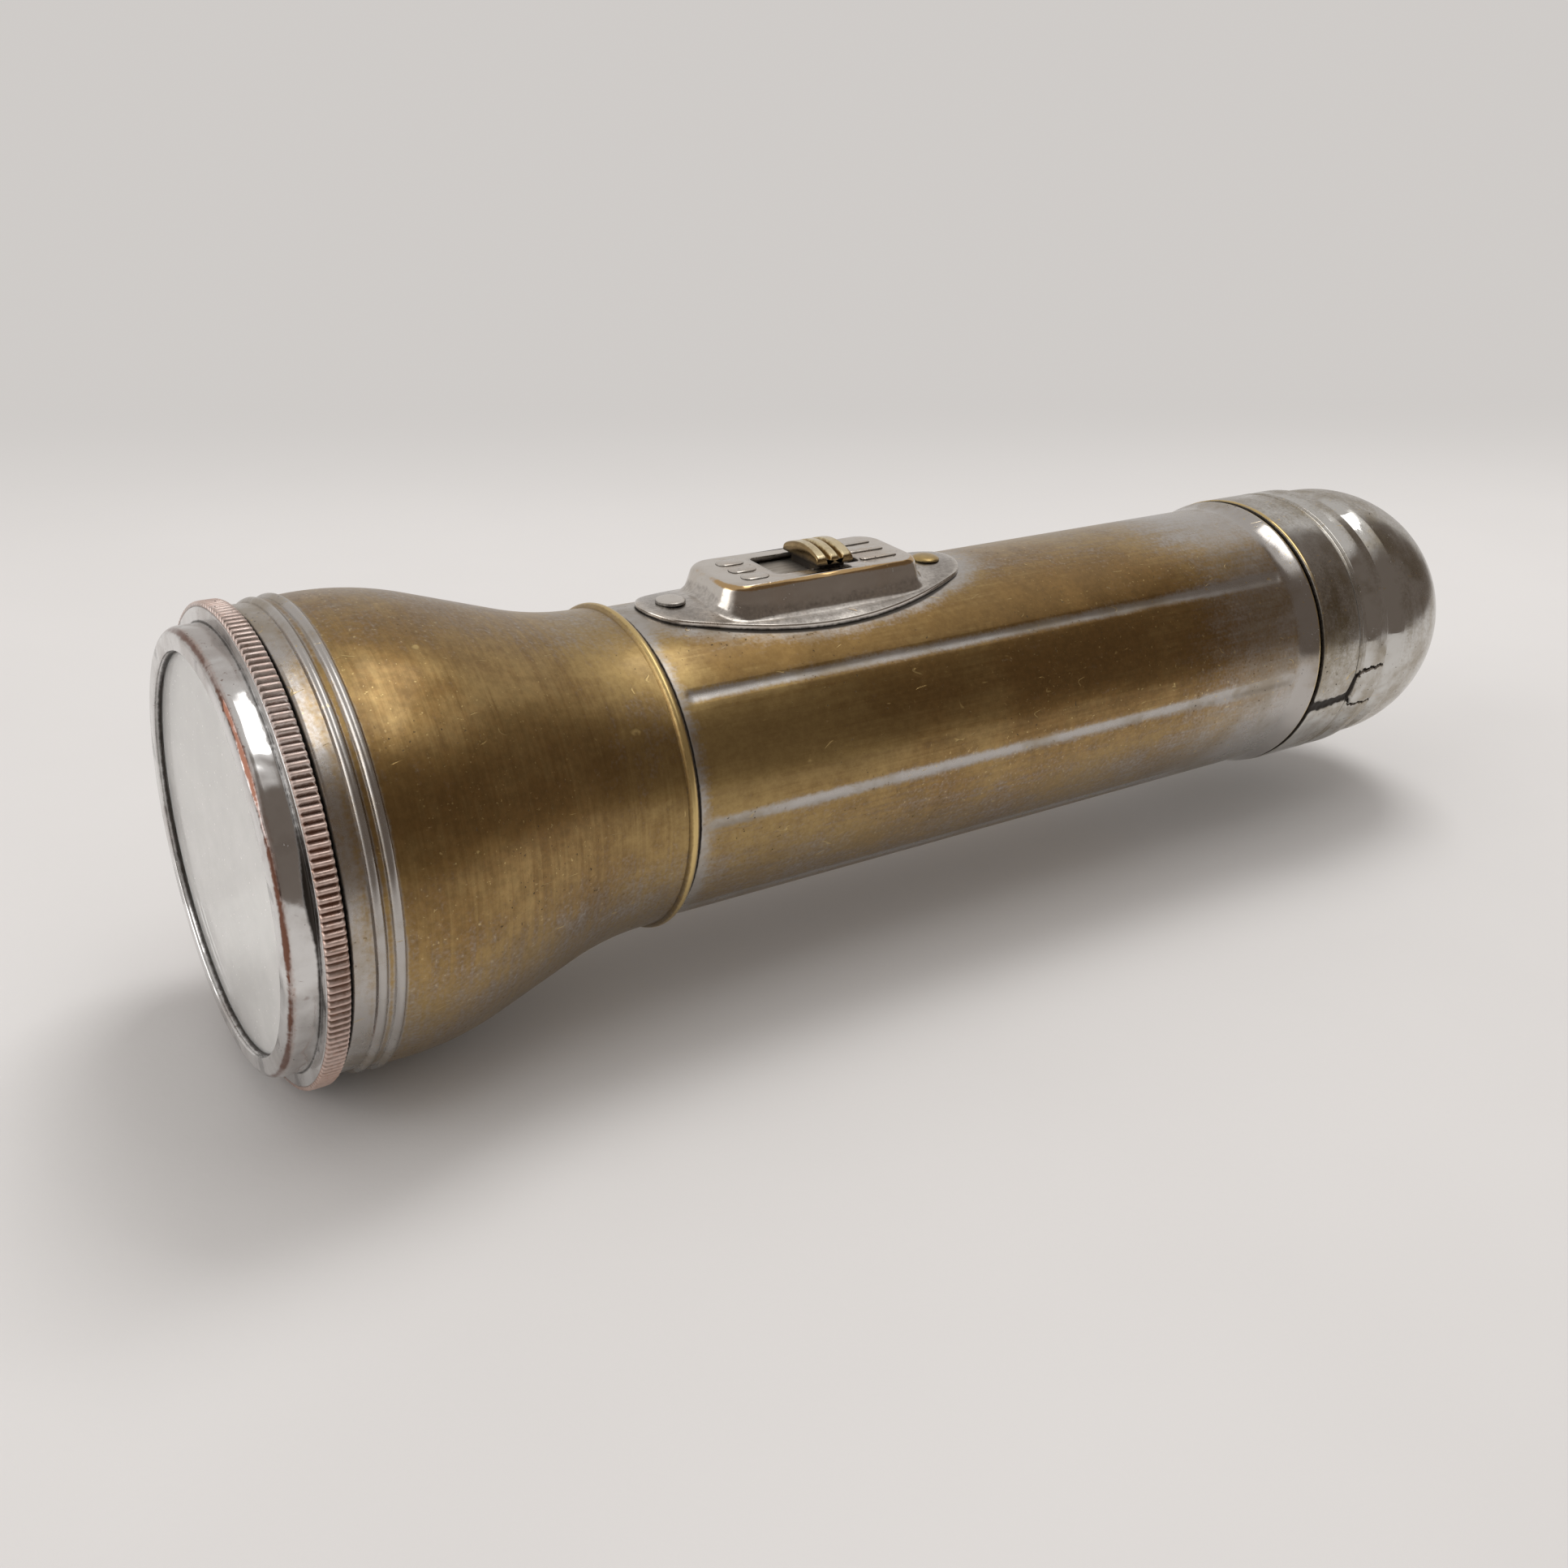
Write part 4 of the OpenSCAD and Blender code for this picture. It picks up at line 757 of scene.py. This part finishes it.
button_top = arch_z - 0.25 * (1 - end_round) - (groove_fall + edge_fall)[:, None]
button_under_x = [button_half, button_half - 0.1, 0, -button_half + 0.1, -button_half]
button_loop_x = np.concatenate([button_x, button_under_x])[:, None]
button_bottom = np.broadcast_to(np.array([0.12, 0, 0, 0, 0.12])[:, None] + button_z, (5, len(button_y)))
button_loop_z = np.concatenate([button_top, button_bottom])
button_points = np.stack(np.broadcast_arrays(button_s + button_loop_x, button_y, button_loop_z), axis=-1)
button_tip_z = button_z + 0.4
button_points[:, [0, -1]] = [(button_s, side * button_half_w, button_tip_z) for side in (-1, 1)]
loop_groove = np.concatenate([groove_fall, np.zeros(5)])[:, None] / groove_depth
button_up = button_points[..., 2]
button_inside = ramp(button_half - np.abs(button_loop_x), 0.0, 0.35)
button_masks = {
    "plate": 0.0,
    "rub": 0.75 * (1 - loop_groove) * ramp(button_up, 22.9, 23.7) * button_inside,
    # Painted shade: dark in the grooves between the ribs and low on the sides by the roof.
    "grime_and_shade": 0.55 * loop_groove + 0.8 * (1 - ramp(button_up, 22.55, 23.1))}
neck_line, neck_low_z, neck_high_z = corner_box(2.0, 3.1, 0.4), 21.36, 22.9
neck_steps = ((0, neck_low_z), (1, neck_low_z), (1, neck_high_z), (0, neck_high_z))
neck_points = np.array([at_height(neck_line * k, z) for k, z in neck_steps]) + (button_s, 0, 0)
button_finish = plated("button_brass", (0.36, 0.25, 0.115), (0.22, 0.145, 0.06), brass, brown_brass,
                       (0.78, 0.66, 0.42), 700, 0.26, 0.26, 0.3)
# The neck is dark with painted shade inside the slot.
piece("thumb_button", "slide", ["thumb_slide"], button_finish,
      [(button_points, button_masks), (neck_points, {"plate": 0.0, "rub": 0.0, "grime_and_shade": 0.8})], 45)


def dress(node, finish):
    """Gives a CAD node that keeps its own shape one finish all over."""
    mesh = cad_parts[node].data
    mesh.materials.clear()
    mesh.materials.append(finish)


def sheet_metal(name, light, dark, grain, roughness, metallic=1.0):
    """Plain sheet or moulding: two shades in clouds, drawn out along the grain, with a little relief."""
    material, wire, output = new_material(name)
    drawn = wire.noise(grain, 4.0, 0.6)
    cloud = wire.noise(130, 3.0)
    shade = (drawn * 0.6 + cloud * 0.4).step(0.34, 0.66)
    principled(wire, output, {
        "Base Color": shade.blend(light, dark), "Metallic": metallic,
        "Roughness": roughness + (drawn - 0.5) * 0.3,
        "Normal": wire.node("Bump", {}, {"Strength": 0.15, "Distance": 0.0002, "Height": drawn})})
    return material


shoe_nickel = sheet_metal("worn_shoe_nickel", (0.66, 0.62, 0.56), (0.38, 0.34, 0.29), (120, 1500, 1500), 0.5)
dress("slide_shoe", shoe_nickel)

# Contacts
# The leaf under the shoe, a sprung strip that runs forward to the lamp's socket, and a fibre liner that keeps
# the strip off the barrel. Leaf and strip are stamped from spring bronze, and the rivets hold the liner.
bronze = sheet_metal("spring_bronze", (0.56, 0.33, 0.16), (0.38, 0.21, 0.10), (100, 1400, 1400), 0.38)
dress("slide_contact", bronze)
dress("contact_strip", bronze)
red_fibre = sheet_metal("red_fibre", (0.23, 0.055, 0.035), (0.13, 0.03, 0.022), (900, 300, 900), 0.7, 0.0)
dress("strip_insulator", red_fibre)

# Lens ring
# A turned ring of nickel-plated copper alloy that screws into the head's mouth: a rounded front band, a
# knurled grip and a threaded skirt. The plating is worn to copper on the front corner and on the knurl.
glass_r, pocket_r, bezel_r, skirt_r, skirt_bore = 21.7, 23.8, 24.4, 24.8, 24.2
knurl_s, knurl_end_s, skirt_end_s = 3.25, 5.65, 12.65
knurl_root, knurl_count, skirt_thread = 26.2, 188, 0.28
lip_s, pocket_s, relief_s, relief_r = 0.8, 3.85, 5.05, 25.6
copper = (0.50, 0.33, 0.26)
ring_finish = plated("worn_ring_plating", copper, (0.36, 0.22, 0.17), (0.70, 0.69, 0.68), (0.52, 0.49, 0.47),
                     (0.17, 0.075, 0.048), (500, 120, 120), 0.32, 0.14, 0.35, 1.4)


def dense(line, step):
    """The same closed line with points added on its straight stretches, at most a step apart."""
    ring = np.concatenate([line, line[:1]])
    run = np.concatenate([[0], np.cumsum(np.linalg.norm(np.diff(ring, axis=0), axis=1))])
    marks = np.unique(np.round(np.concatenate([run[:-1], np.arange(0, run[-1], step)]), 6))
    return np.stack([np.interp(marks, run, c) for c in ring.T], axis=-1)


ring_front = rounded(
    [(0, glass_r), (0, bezel_r), (knurl_s, bezel_r), (knurl_s, knurl_root - 0.1),
     (knurl_end_s, knurl_root - 0.1), (knurl_end_s, skirt_r)], (0.25, 1.2, 0.3, 0.2, 0.2, 0.1), 9)
skirt_s = np.arange(knurl_end_s + 0.3, skirt_end_s - 0.1, 0.15)
ring_back = rounded(
    [(skirt_end_s, skirt_r - 0.15), (skirt_end_s, skirt_bore), (relief_s, skirt_bore), (relief_s, relief_r),
     (pocket_s, relief_r), (pocket_s, pocket_r), (lip_s, pocket_r), (lip_s, glass_r)], np.zeros(8), 2)
ring_line = dense(np.concatenate([ring_front, pairs(skirt_s, skirt_r), ring_back]), 0.35)
ring_angles = round_angles(192)
s, r = ring_line[:, :1], ring_line[:, 1:]
on_skirt = (r > skirt_r - 0.01) * (r < skirt_r + 0.01) * ramp(s, 6.2, 7.0) * ramp(skirt_end_s - s, 0.1, 0.8)
ring_points = turned(s, r - skirt_thread * thread_wave(s, ring_angles, thread_pitch) * on_skirt, ring_angles)
corner_gap = np.hypot(s - 0.35, r - (bezel_r - 0.35))
knurl_foot = near(np.hypot(s - knurl_s, r - bezel_r), 0.34)
glass_edge = near(np.maximum(r - glass_r, 0), 0.22) * (s < lip_s + 0.1)
side_stain = near(s - 2.85, 0.5) * near(np.degrees(ring_angles) - 76, 9)
ring_masks = {
    "dust": 0.0,
    "plate": 1.05 - 0.5 * near(r - bezel_r + 0.1, 0.8) * near(s - 0.6, 0.35),
    "rub": near(corner_gap, 0.42) * (0.8 + 0.25 * np.sin(5 * ring_angles) * np.sin(13 * ring_angles + 1)),
    # Painted shade: dark lines at the knurl's foot, round the glass and behind the knurl; the side stain is a
    # stain.
    "grime_and_shade": 0.85 * knurl_foot + 0.95 * glass_edge + 0.7 * near(s - knurl_end_s, 0.12) + 0.85 * side_stain}
knurl_half = np.array([
    (3.3, 25.9), (3.3, 26.0), (3.3, 26.15), (3.38, 26.3), (3.55, 26.38), (3.8, 26.4), (4.45, 26.4)])
knurl_mirror = knurl_half[-2::-1] * (-1, 1) + (knurl_s + knurl_end_s, 0)
knurl_line = np.concatenate([knurl_half, knurl_mirror])
knurl_angles = round_angles(knurl_count * 8)
rib = 1 - 2 * (0.5 - 0.5 * np.cos(knurl_count * knurl_angles)) ** 1.8
knurl_stand = ramp(knurl_line[:, 1:], 25.95, 26.38)
knurl_points = turned(knurl_line[:, :1], knurl_line[:, 1:] + 0.2 * rib * knurl_stand, knurl_angles)
knurl_top = ramp(np.cos(knurl_angles), 0.2, 0.9)
# The rib term paints light on the knurl: paler crests, through more plate and dust, are painted highlight,
# and darker valleys, through grime and the ring's dark rubbed copper, are painted shade, as is the dark where
# the knurl falls to its root. The rest is dust and worn plating.
knurl_masks = {"plate": 0.35 + 0.25 * knurl_top + 0.15 * rib,
               "rub": 0.5 * ramp(-rib, 0.1, 0.9),
               "dust": 0.36 + 0.2 * rib,
               "grime_and_shade": 0.15 * ramp(-rib, 0.3, 1.0) + 0.7 * (1 - knurl_stand)}
piece("lens_ring", "bezel", ["bezel_ring"], ring_finish,
      [(ring_points, ring_masks), (knurl_points, knurl_masks)], 40)

# Lens and its rings
# A flat disc of glass, a soft brown gasket behind it, the reflector's fibre ring and the split wire ring that
# is sprung into the skirt to hold them all.
disc_r, gasket_bore, fibre_bore = 23.5, 22.0, 23.0
lens_s, lens_t, gasket_s, fibre_s, ring_t = 0.95, 2.0, 3.0, 4.6, 1.0


def disc_line(front_s, back_s, r, rounds, steps=5, back_r=None):
    """A solid disc's line from pole to pole: a front face, a rim with two rounded corners and a back face."""
    corners = [(front_s, 0), (front_s, r), (back_s, r if back_r is None else back_r), (back_s, 0)]
    return rounded(corners, (0, *rounds, 0), steps)


def band_line(front_s, back_s, bore, r, corner, steps):
    """A flat ring's line, with its four corners rounded alike."""
    return rounded([(front_s, bore), (front_s, r), (back_s, r), (back_s, bore)], (corner,) * 4, steps)


def turned_piece(name, body, node, finish, line, columns=96, crease=38, drop=0.0):
    """A piece turned from a line of station and radius, without masks; a drop puts it below the axis."""
    points = lathe(line, round_angles(columns)) - (0, 0, drop)
    piece(name, body, [node], finish, [(points, {})], crease)


lens_line = dense(disc_line(lens_s, lens_s + lens_t, disc_r, (0.3, 0.3)), 2.0)
lens_material, wire, output = new_material("dusty_glass")
haze = wire.noise(70, 5.0).step(0.3, 0.75)
specks = wire.noise(2200, 1.0).step(0.70, 0.76)
clear = wire.node("BsdfPrincipled", {}, {
    "Base Color": (0.97, 0.98, 0.97, 1), "Transmission Weight": 1.0, "IOR": 1.5,
    "Roughness": haze * 0.06 + 0.02})
dust = wire.node("BsdfPrincipled", {}, {"Base Color": (0.92, 0.905, 0.88, 1), "Roughness": haze * 0.2 + 0.35})
show(wire.node("MixShader", {}, {0: (haze * 0.14 + specks * 0.3 + 0.38).clamp(), 1: clear, 2: dust}), output)
turned_piece("front_glass", "optic", "lens", lens_material, lens_line, 128, 30)
gasket_line = band_line(gasket_s, gasket_s + ring_t, gasket_bore, disc_r, 0.3, 5)
gasket_finish = sheet_metal("brown_gasket", (0.13, 0.085, 0.055), (0.075, 0.05, 0.035), 800, 0.75, 0.0)
turned_piece("soft_gasket", "optic", "lens_gasket", gasket_finish, gasket_line)
fibre_line = band_line(fibre_s, fibre_s + ring_t, fibre_bore, disc_r, 0.1, 3)
fibre_finish = sheet_metal("ring_fibre", (0.25, 0.06, 0.04), (0.15, 0.035, 0.025), 900, 0.7, 0.0)
turned_piece("fibre_ring", "optic", "reflector_insulator", fibre_finish, fibre_line)


def wire_form(path, radius, sides=14):
    """A round wire along a path of points, its ends closed by poles.

    Each ring is the path's point plus the radius times a turn between two directions square to the path: the
    way outward from the axis, less its part along the path, and the cross product of both.
    """
    along = np.gradient(path, axis=0)
    along /= np.linalg.norm(along, axis=1, keepdims=True)
    out = path * (0, 1, 1)
    out = out - along * (out * along).sum(1, keepdims=True)
    out /= np.linalg.norm(out, axis=1, keepdims=True)
    side = np.cross(along, out)
    turn = round_angles(sides)[:, None]
    rings = path[:, None] + radius * (np.cos(turn) * out[:, None] + np.sin(turn) * side[:, None])
    poles = np.repeat(path[:, None], sides, axis=1)
    return np.concatenate([poles[:1], rings, poles[-1:]])


split_turn = np.radians(np.linspace(6, 344, 170))
split_s, split_wire_r = 6.5, 0.6
split_path = turned(split_s, skirt_bore - split_wire_r - seat_gap, split_turn)
steel = sheet_metal("blued_spring_steel", (0.22, 0.22, 0.23), (0.12, 0.12, 0.13), 500, 0.36)
piece("split_wire", "bezel", ["retaining_ring"], steel, [(wire_form(split_path, split_wire_r), {})])

# Reflector
# A parabolic dish pressed from brass and silvered inside, with a flange that the ring clamps and a collar
# that carries the lamp's socket.
focus_l, dish_vertex, dish_r, dish_hole_r, dish_wall = 6.0, 24.217, 22.0, 6.3, 0.5
flange_s, flange_back_s, collar_s, collar_end_s = 4.05, 4.55, 23.0, 25.06
dish_radii = np.linspace(dish_hole_r, dish_r, 40)
dish_lean = dish_radii / (2 * focus_l)
dish_face = pairs(dish_vertex - dish_radii ** 2 / (4 * focus_l), dish_radii)
dish_back = dish_face + dish_wall * pairs(1.0, dish_lean) / np.hypot(1, dish_lean)[:, None]
dish_line = np.concatenate([
    dish_face, [(flange_s, dish_r + 0.1), (flange_s, disc_r), (flange_back_s, disc_r),
                (flange_back_s, dish_r + 0.55)],
    dish_back[-2::-1][:-2], [(collar_s, dish_hole_r + dish_wall + 0.2)],
    [(collar_end_s, dish_hole_r + dish_wall), (collar_end_s, dish_hole_r)]])
silver_material, wire, output = new_material("silvered_dish")
cloud = wire.noise(60, 4.0)
spun = wire.noise((900, 30, 30), 3.0)
principled(wire, output, {
    "Base Color": cloud.step(0.35, 0.75).blend((0.88, 0.87, 0.84), (0.76, 0.74, 0.69)), "Metallic": 1.0,
    "Roughness": cloud * 0.12 + 0.08,
    "Normal": wire.node("Bump", {}, {"Strength": 0.04, "Distance": 0.0002, "Height": spun})})
turned_piece("dish", "optic", "reflector", silver_material, dish_line, 144, 30)

# Lamp and socket
# A brass sleeve with a contact flange holds a small screw lamp: a glass globe, a threaded brass shell, black
# glass at its base, a solder tip and a tungsten filament on two wires.
shell_r, shell_s, lamp_glass_s, focus_s = 4.75, 24.313, 34.313, 18.217
globe_r, globe_bore_r, globe_columns = 5.5, 5.0, 64
black_end_s, black_r, black_end_r = 36.45, 4.2, 2.2
tip_s, tip_end_s, tip_r, tip_end_r = 36.513, 37.46, 1.9, 1.25
socket_bore, socket_r, socket_s, socket_flange_r = 4.85, 5.45, 25.113, 10.5
lamp_brass = sheet_metal("lamp_brass", (0.62, 0.46, 0.20), (0.45, 0.31, 0.12), (700, 200, 200), 0.3)
socket_back_s, socket_end_s = socket_s + 0.6, 33.6
socket_line = rounded(
    [(socket_s, socket_bore), (socket_s, socket_flange_r), (socket_back_s, socket_flange_r),
     (socket_back_s, socket_r), (socket_end_s, socket_r), (socket_end_s, socket_bore)],
    (0.15, 0.2, 0.2, 0.3, 0.2, 0.15), 5)
turned_piece("lamp_socket", "optic", "bulb_socket", lamp_brass, socket_line)
thread_s = np.arange(shell_s, lamp_glass_s - 0.1, 0.1)[:, None]
shell_angles = round_angles(72)
shell_pitch, shell_thread = 1.0, 0.12
shell_wave = shell_thread * (2 * thread_wave(thread_s, shell_angles, shell_pitch) - 1)
shell_points = np.concatenate([
    turned(thread_s, shell_r - 0.14 + shell_wave, shell_angles),
    turned(thread_s[::-1], shell_r - 0.48 + 0.4 * shell_wave[::-1], shell_angles)])
piece("lamp_shell", "optic", ["bulb_base"], lamp_brass, [(shell_points, {})], 45)
globe_turn = np.linspace(0, np.pi * 0.74, 36)
globe_outer, globe_inner = (
    pairs(focus_s - radius * np.cos(globe_turn), radius * np.sin(globe_turn))
    for radius in (globe_r, globe_bore_r))
globe_neck = [(23.4, 4.15), (26.2, 4.15), (26.2, 0), (24.3, 0), (24.2, 3.55), (23.4, 3.6)]
globe_line = np.concatenate([globe_outer, globe_neck, globe_inner[::-1]])
globe_material, wire, output = new_material("lamp_glass")
haze = wire.noise(300, 3.0).step(0.35, 0.8)
principled(wire, output, {"Base Color": (0.98, 0.98, 0.97, 1), "Transmission Weight": 1.0, "IOR": 1.47,
                          "Roughness": haze * 0.08 + 0.01})
turned_piece("lamp_globe", "optic", "bulb_glass", globe_material, globe_line, globe_columns, 40)
black_line = disc_line(lamp_glass_s, black_end_s, black_r, (0.3, 0.3), back_r=black_end_r)
black_glass = sheet_metal("black_glass", (0.012, 0.012, 0.014), (0.03, 0.03, 0.034), 600, 0.15, 0.0)
turned_piece("lamp_base_glass", "optic", "bulb_insulator", black_glass, black_line,
             globe_columns)
tip_line = disc_line(tip_s, tip_end_s, tip_r, (0.2, 0.35), 6, tip_end_r)
solder = sheet_metal("solder", (0.52, 0.52, 0.53), (0.36, 0.36, 0.37), 900, 0.42)
turned_piece("lamp_tip", "optic", "bulb_tip", solder, tip_line, globe_columns)
dress("bulb_filament", sheet_metal("tungsten", (0.30, 0.29, 0.28), (0.18, 0.17, 0.17), 1200, 0.4))

# Cells
# Two dry cells in a row: a zinc can in a waxed paper jacket, a brass cap on its carbon rod and a bare zinc
# end. They lie on the bottom of the barrel.
cell_r, cell_l, cell_drop = 16.5, 61.5, 1.1
cell_starts = {"front": 37.763, "rear": 99.313}
jacket = sheet_metal("waxed_paper_jacket", (0.06, 0.10, 0.115), (0.035, 0.06, 0.075), (40, 900, 900),
                     0.5, 0.0)
zinc = sheet_metal("bare_zinc", (0.50, 0.52, 0.55), (0.34, 0.36, 0.39), 300, 0.45)
cell_cap_r, cell_cap_h, cell_base_r, cell_base_h = 4.75, 2.5, 15.6, 0.6
for place, start in cell_starts.items():
    end = start + cell_l
    jacket_line = disc_line(start + cell_cap_h + seat_gap, end - cell_base_h - seat_gap, cell_r,
                            (0.9, 0.4), 6)
    brass_cap_line = disc_line(start, start + cell_cap_h, cell_cap_r, (0.6, 0.1), 6)
    base_line = disc_line(end - cell_base_h, end, cell_base_r, (0.1, 0.25))
    for part, slot_name, line, finish in (
            ("", "cell_jacket", jacket_line, jacket), ("_cap", "cell_caps", brass_cap_line, lamp_brass),
            ("_base", "cell_zinc", base_line, zinc)):
        turned_piece(f"{place}_dry_cell{part}", "case", f"{place}_cell{part}", finish, line,
                     crease=40, drop=cell_drop)

# Tail cap
# The bullet-shaped end, drawn from nickel-plated brass and threaded on the barrel. Two grooves are rolled
# round it, and the rim has split where the sheet was drawn thinnest.
cap_lead, dome_mid_s, cap_r, dome_r, cap_wall = 150.813, 169.813, 19.85, 19.3, 0.6
groove_1_s, groove_2_s = 159.413, 165.813
fine_grooves = (
    (158.2, 158.5, 158.9, 0.22, 1.0), (159.0, 159.3, 159.7, 0.38, 1.0), (159.8, 160.1, 163.0, 0.6, 1.1))


def rolled(s, start, bottom, end, depth, swell):
    """A rolled groove's depth: a short fall, then a rise by a power of the way from its bottom to its end."""
    rise = np.clip((end - s) / (end - bottom), 0, 1) ** swell
    return depth * np.where(s < bottom, ramp(s, start, bottom), rise)


def cap_line(s, depth):
    """The cap's radius at a depth under its outside: a plain band and the dome's circle, less the grooves."""
    dome = np.sqrt(np.maximum((dome_r - depth) ** 2 - np.maximum(s - dome_mid_s, 0) ** 2, 0))
    step_down = ramp(s, groove_2_s - 1.4, groove_2_s - 0.5)
    r = np.where(s < groove_2_s - 0.5, cap_r - depth - (cap_r - dome_r) * step_down, dome)
    fine = sum(rolled(s, *groove) for groove in fine_grooves)
    return r - fine - rolled(s, groove_2_s - 1.4, groove_2_s - 0.5, groove_2_s + 3.1, 0.88, 1.05)


def dome_arc(radius, turn):
    """The dome's line: stations by the sine of the turn and radii by its cosine, round the dome's middle."""
    return pairs(dome_mid_s + radius * np.sin(turn), radius * np.cos(turn))


cap_s = np.concatenate([
    np.arange(cap_lead + 0.2, 158.1, 0.3), np.arange(158.1, 169.4, 0.1), np.arange(169.5, 176, 0.5)])
dome_turn = np.linspace(math.asin((176.2 - dome_mid_s) / dome_r), np.pi / 2, 24)
cap_inner_s = np.concatenate([
    np.arange(175.5, 169.5, -1.0), np.arange(169.4, 157.9, -0.2), np.arange(157.0, cap_lead, -1.5),
    [cap_lead]])
cap_profile = np.concatenate([
    [(cap_lead, cap_r - 0.2)], pairs(cap_s, cap_line(cap_s, 0)), dome_arc(dome_r, dome_turn),
    dome_arc(dome_r - cap_wall, dome_turn[::-1]), pairs(cap_inner_s, cap_line(cap_inner_s, cap_wall))])
crack_columns = np.radians(np.arange(88, 116, 0.4))
cap_angles = np.unique(np.round(np.concatenate([round_angles(180), crack_columns]), 5))
s, r = cap_profile[:, :1], cap_profile[:, 1:]
outer = r > cap_line(s, 0) - 0.3
crack_routes = [([150.8, 153.0, 155.0, 157.2, 158.3, 158.8, 160.6, 162.4, 164.6],
                 [105.9, 106.3, 105.9, 105.2, 104.4, 95.0, 94.2, 92.9, 92.0],
                 [1.0, 0.9, 0.8, 0.7, 0.8, 0.5, 0.24, 0.18, 0.12]),
                ([158.3, 160.3, 162.5, 164.8], [104.6, 112.3, 111.0, 109.8], [0.30, 0.19, 0.15, 0.12])]


def crack_depth(s, angles, routes):
    """How deep a point lies in a crack, 0 to 1: 1.25 less its gap to the nearest route over its width."""
    depth = np.zeros(np.broadcast(s, angles).shape)
    for route_s, route_a, route_w in routes:
        run = np.linspace(0, len(route_s) - 1, 160)
        mark = np.arange(len(route_s))
        rs, ra, rw = (np.interp(run, mark, v) for v in (route_s, np.radians(route_a), route_w))
        ra = ra + 0.006 * np.sin(run * 9.0) + 0.004 * np.sin(run * 23.0)
        gap = np.hypot(s[..., None] - rs, cap_r * (angles[..., None] - ra))
        depth = np.maximum(depth, np.clip(1.25 - gap / rw, 0, 1).max(axis=-1))
    return depth


by_crack = (s[:, 0] < 165.5) & (r[:, 0] > 18.7)
cracked = np.zeros((len(s), len(cap_angles)))
crack_view = (cap_angles > math.radians(87)) & (cap_angles < math.radians(117))
cracked[np.ix_(by_crack, crack_view)] = crack_depth(s[by_crack], cap_angles[crack_view][None], crack_routes)
cap_points = turned(s, r - 0.35 * cracked * outer, cap_angles)
polished_s = (groove_1_s + 1.7, groove_2_s + 1.4)
shaded_groove_s = (*(line[1] for line in fine_grooves), 165.2)
cap_top = np.cos(cap_angles)
bare_patch = near(s - 154.0, 4.0) * near(np.degrees(cap_angles) - 66, 20)
# Less plating along the top darkens it: painted shade.
cap_plate = 0.7 - 0.2 * ramp(s, 170, 180) - 0.2 * ramp(cap_top, 0.9, 0.98) - 0.5 * bare_patch
# Painted shade: dark lines at the rim's seam and along the groove bottoms.
cap_seam_and_groove_shade = 0.8 * near(s - cap_lead, 0.15) + 0.75 * sum(near(s - g, 0.18) for g in shaded_groove_s)
cap_masks = {
    "plate": cap_plate + 0.4 * sum(near(s - g, 1.3) for g in polished_s),
    "gloss": sum(near(s - g, 1.4) for g in polished_s),
    "rub": near(s - cap_lead - 0.3, 0.35) * (0.4 + 0.5 * ramp(cap_top, 0.4, 0.9)),
    "grime_and_shade": np.clip(cracked * 1.4 + cap_seam_and_groove_shade, 0, 1.4)}
cap_finish = plated("worn_cap_nickel", (0.30, 0.25, 0.165), (0.20, 0.155, 0.095), (0.62, 0.61, 0.585),
                    (0.36, 0.32, 0.255), gold, (700, 70, 70), 0.32, 0.18, 0.9, 0.6)
piece("end_cap", "tail", ["tail_cap"], cap_finish, [(cap_points, cap_masks)], 50)

# Tail spring
# A conical spring of round steel wire, trapped behind the cap's inner groove; its small end presses the cells
# forward.
spring_turns, spring_wire_r, spring_s, spring_l = 4.5, 0.6, 161.713, 6.7
spring_small_r, spring_widening = 6.5, 11.45
spring_share = np.linspace(0, 1, 200)
spring_turn = 2 * np.pi * spring_turns * spring_share
spring_r = spring_small_r + spring_widening * spring_share
spring_path = np.stack([spring_s + spring_l * spring_share, spring_r * np.cos(spring_turn),
                        spring_r * np.sin(spring_turn)], axis=-1)
piece("cone_spring", "tail_seat", ["tail_spring"], steel,
      [(wire_form(spring_path, spring_wire_r), {})], 60)
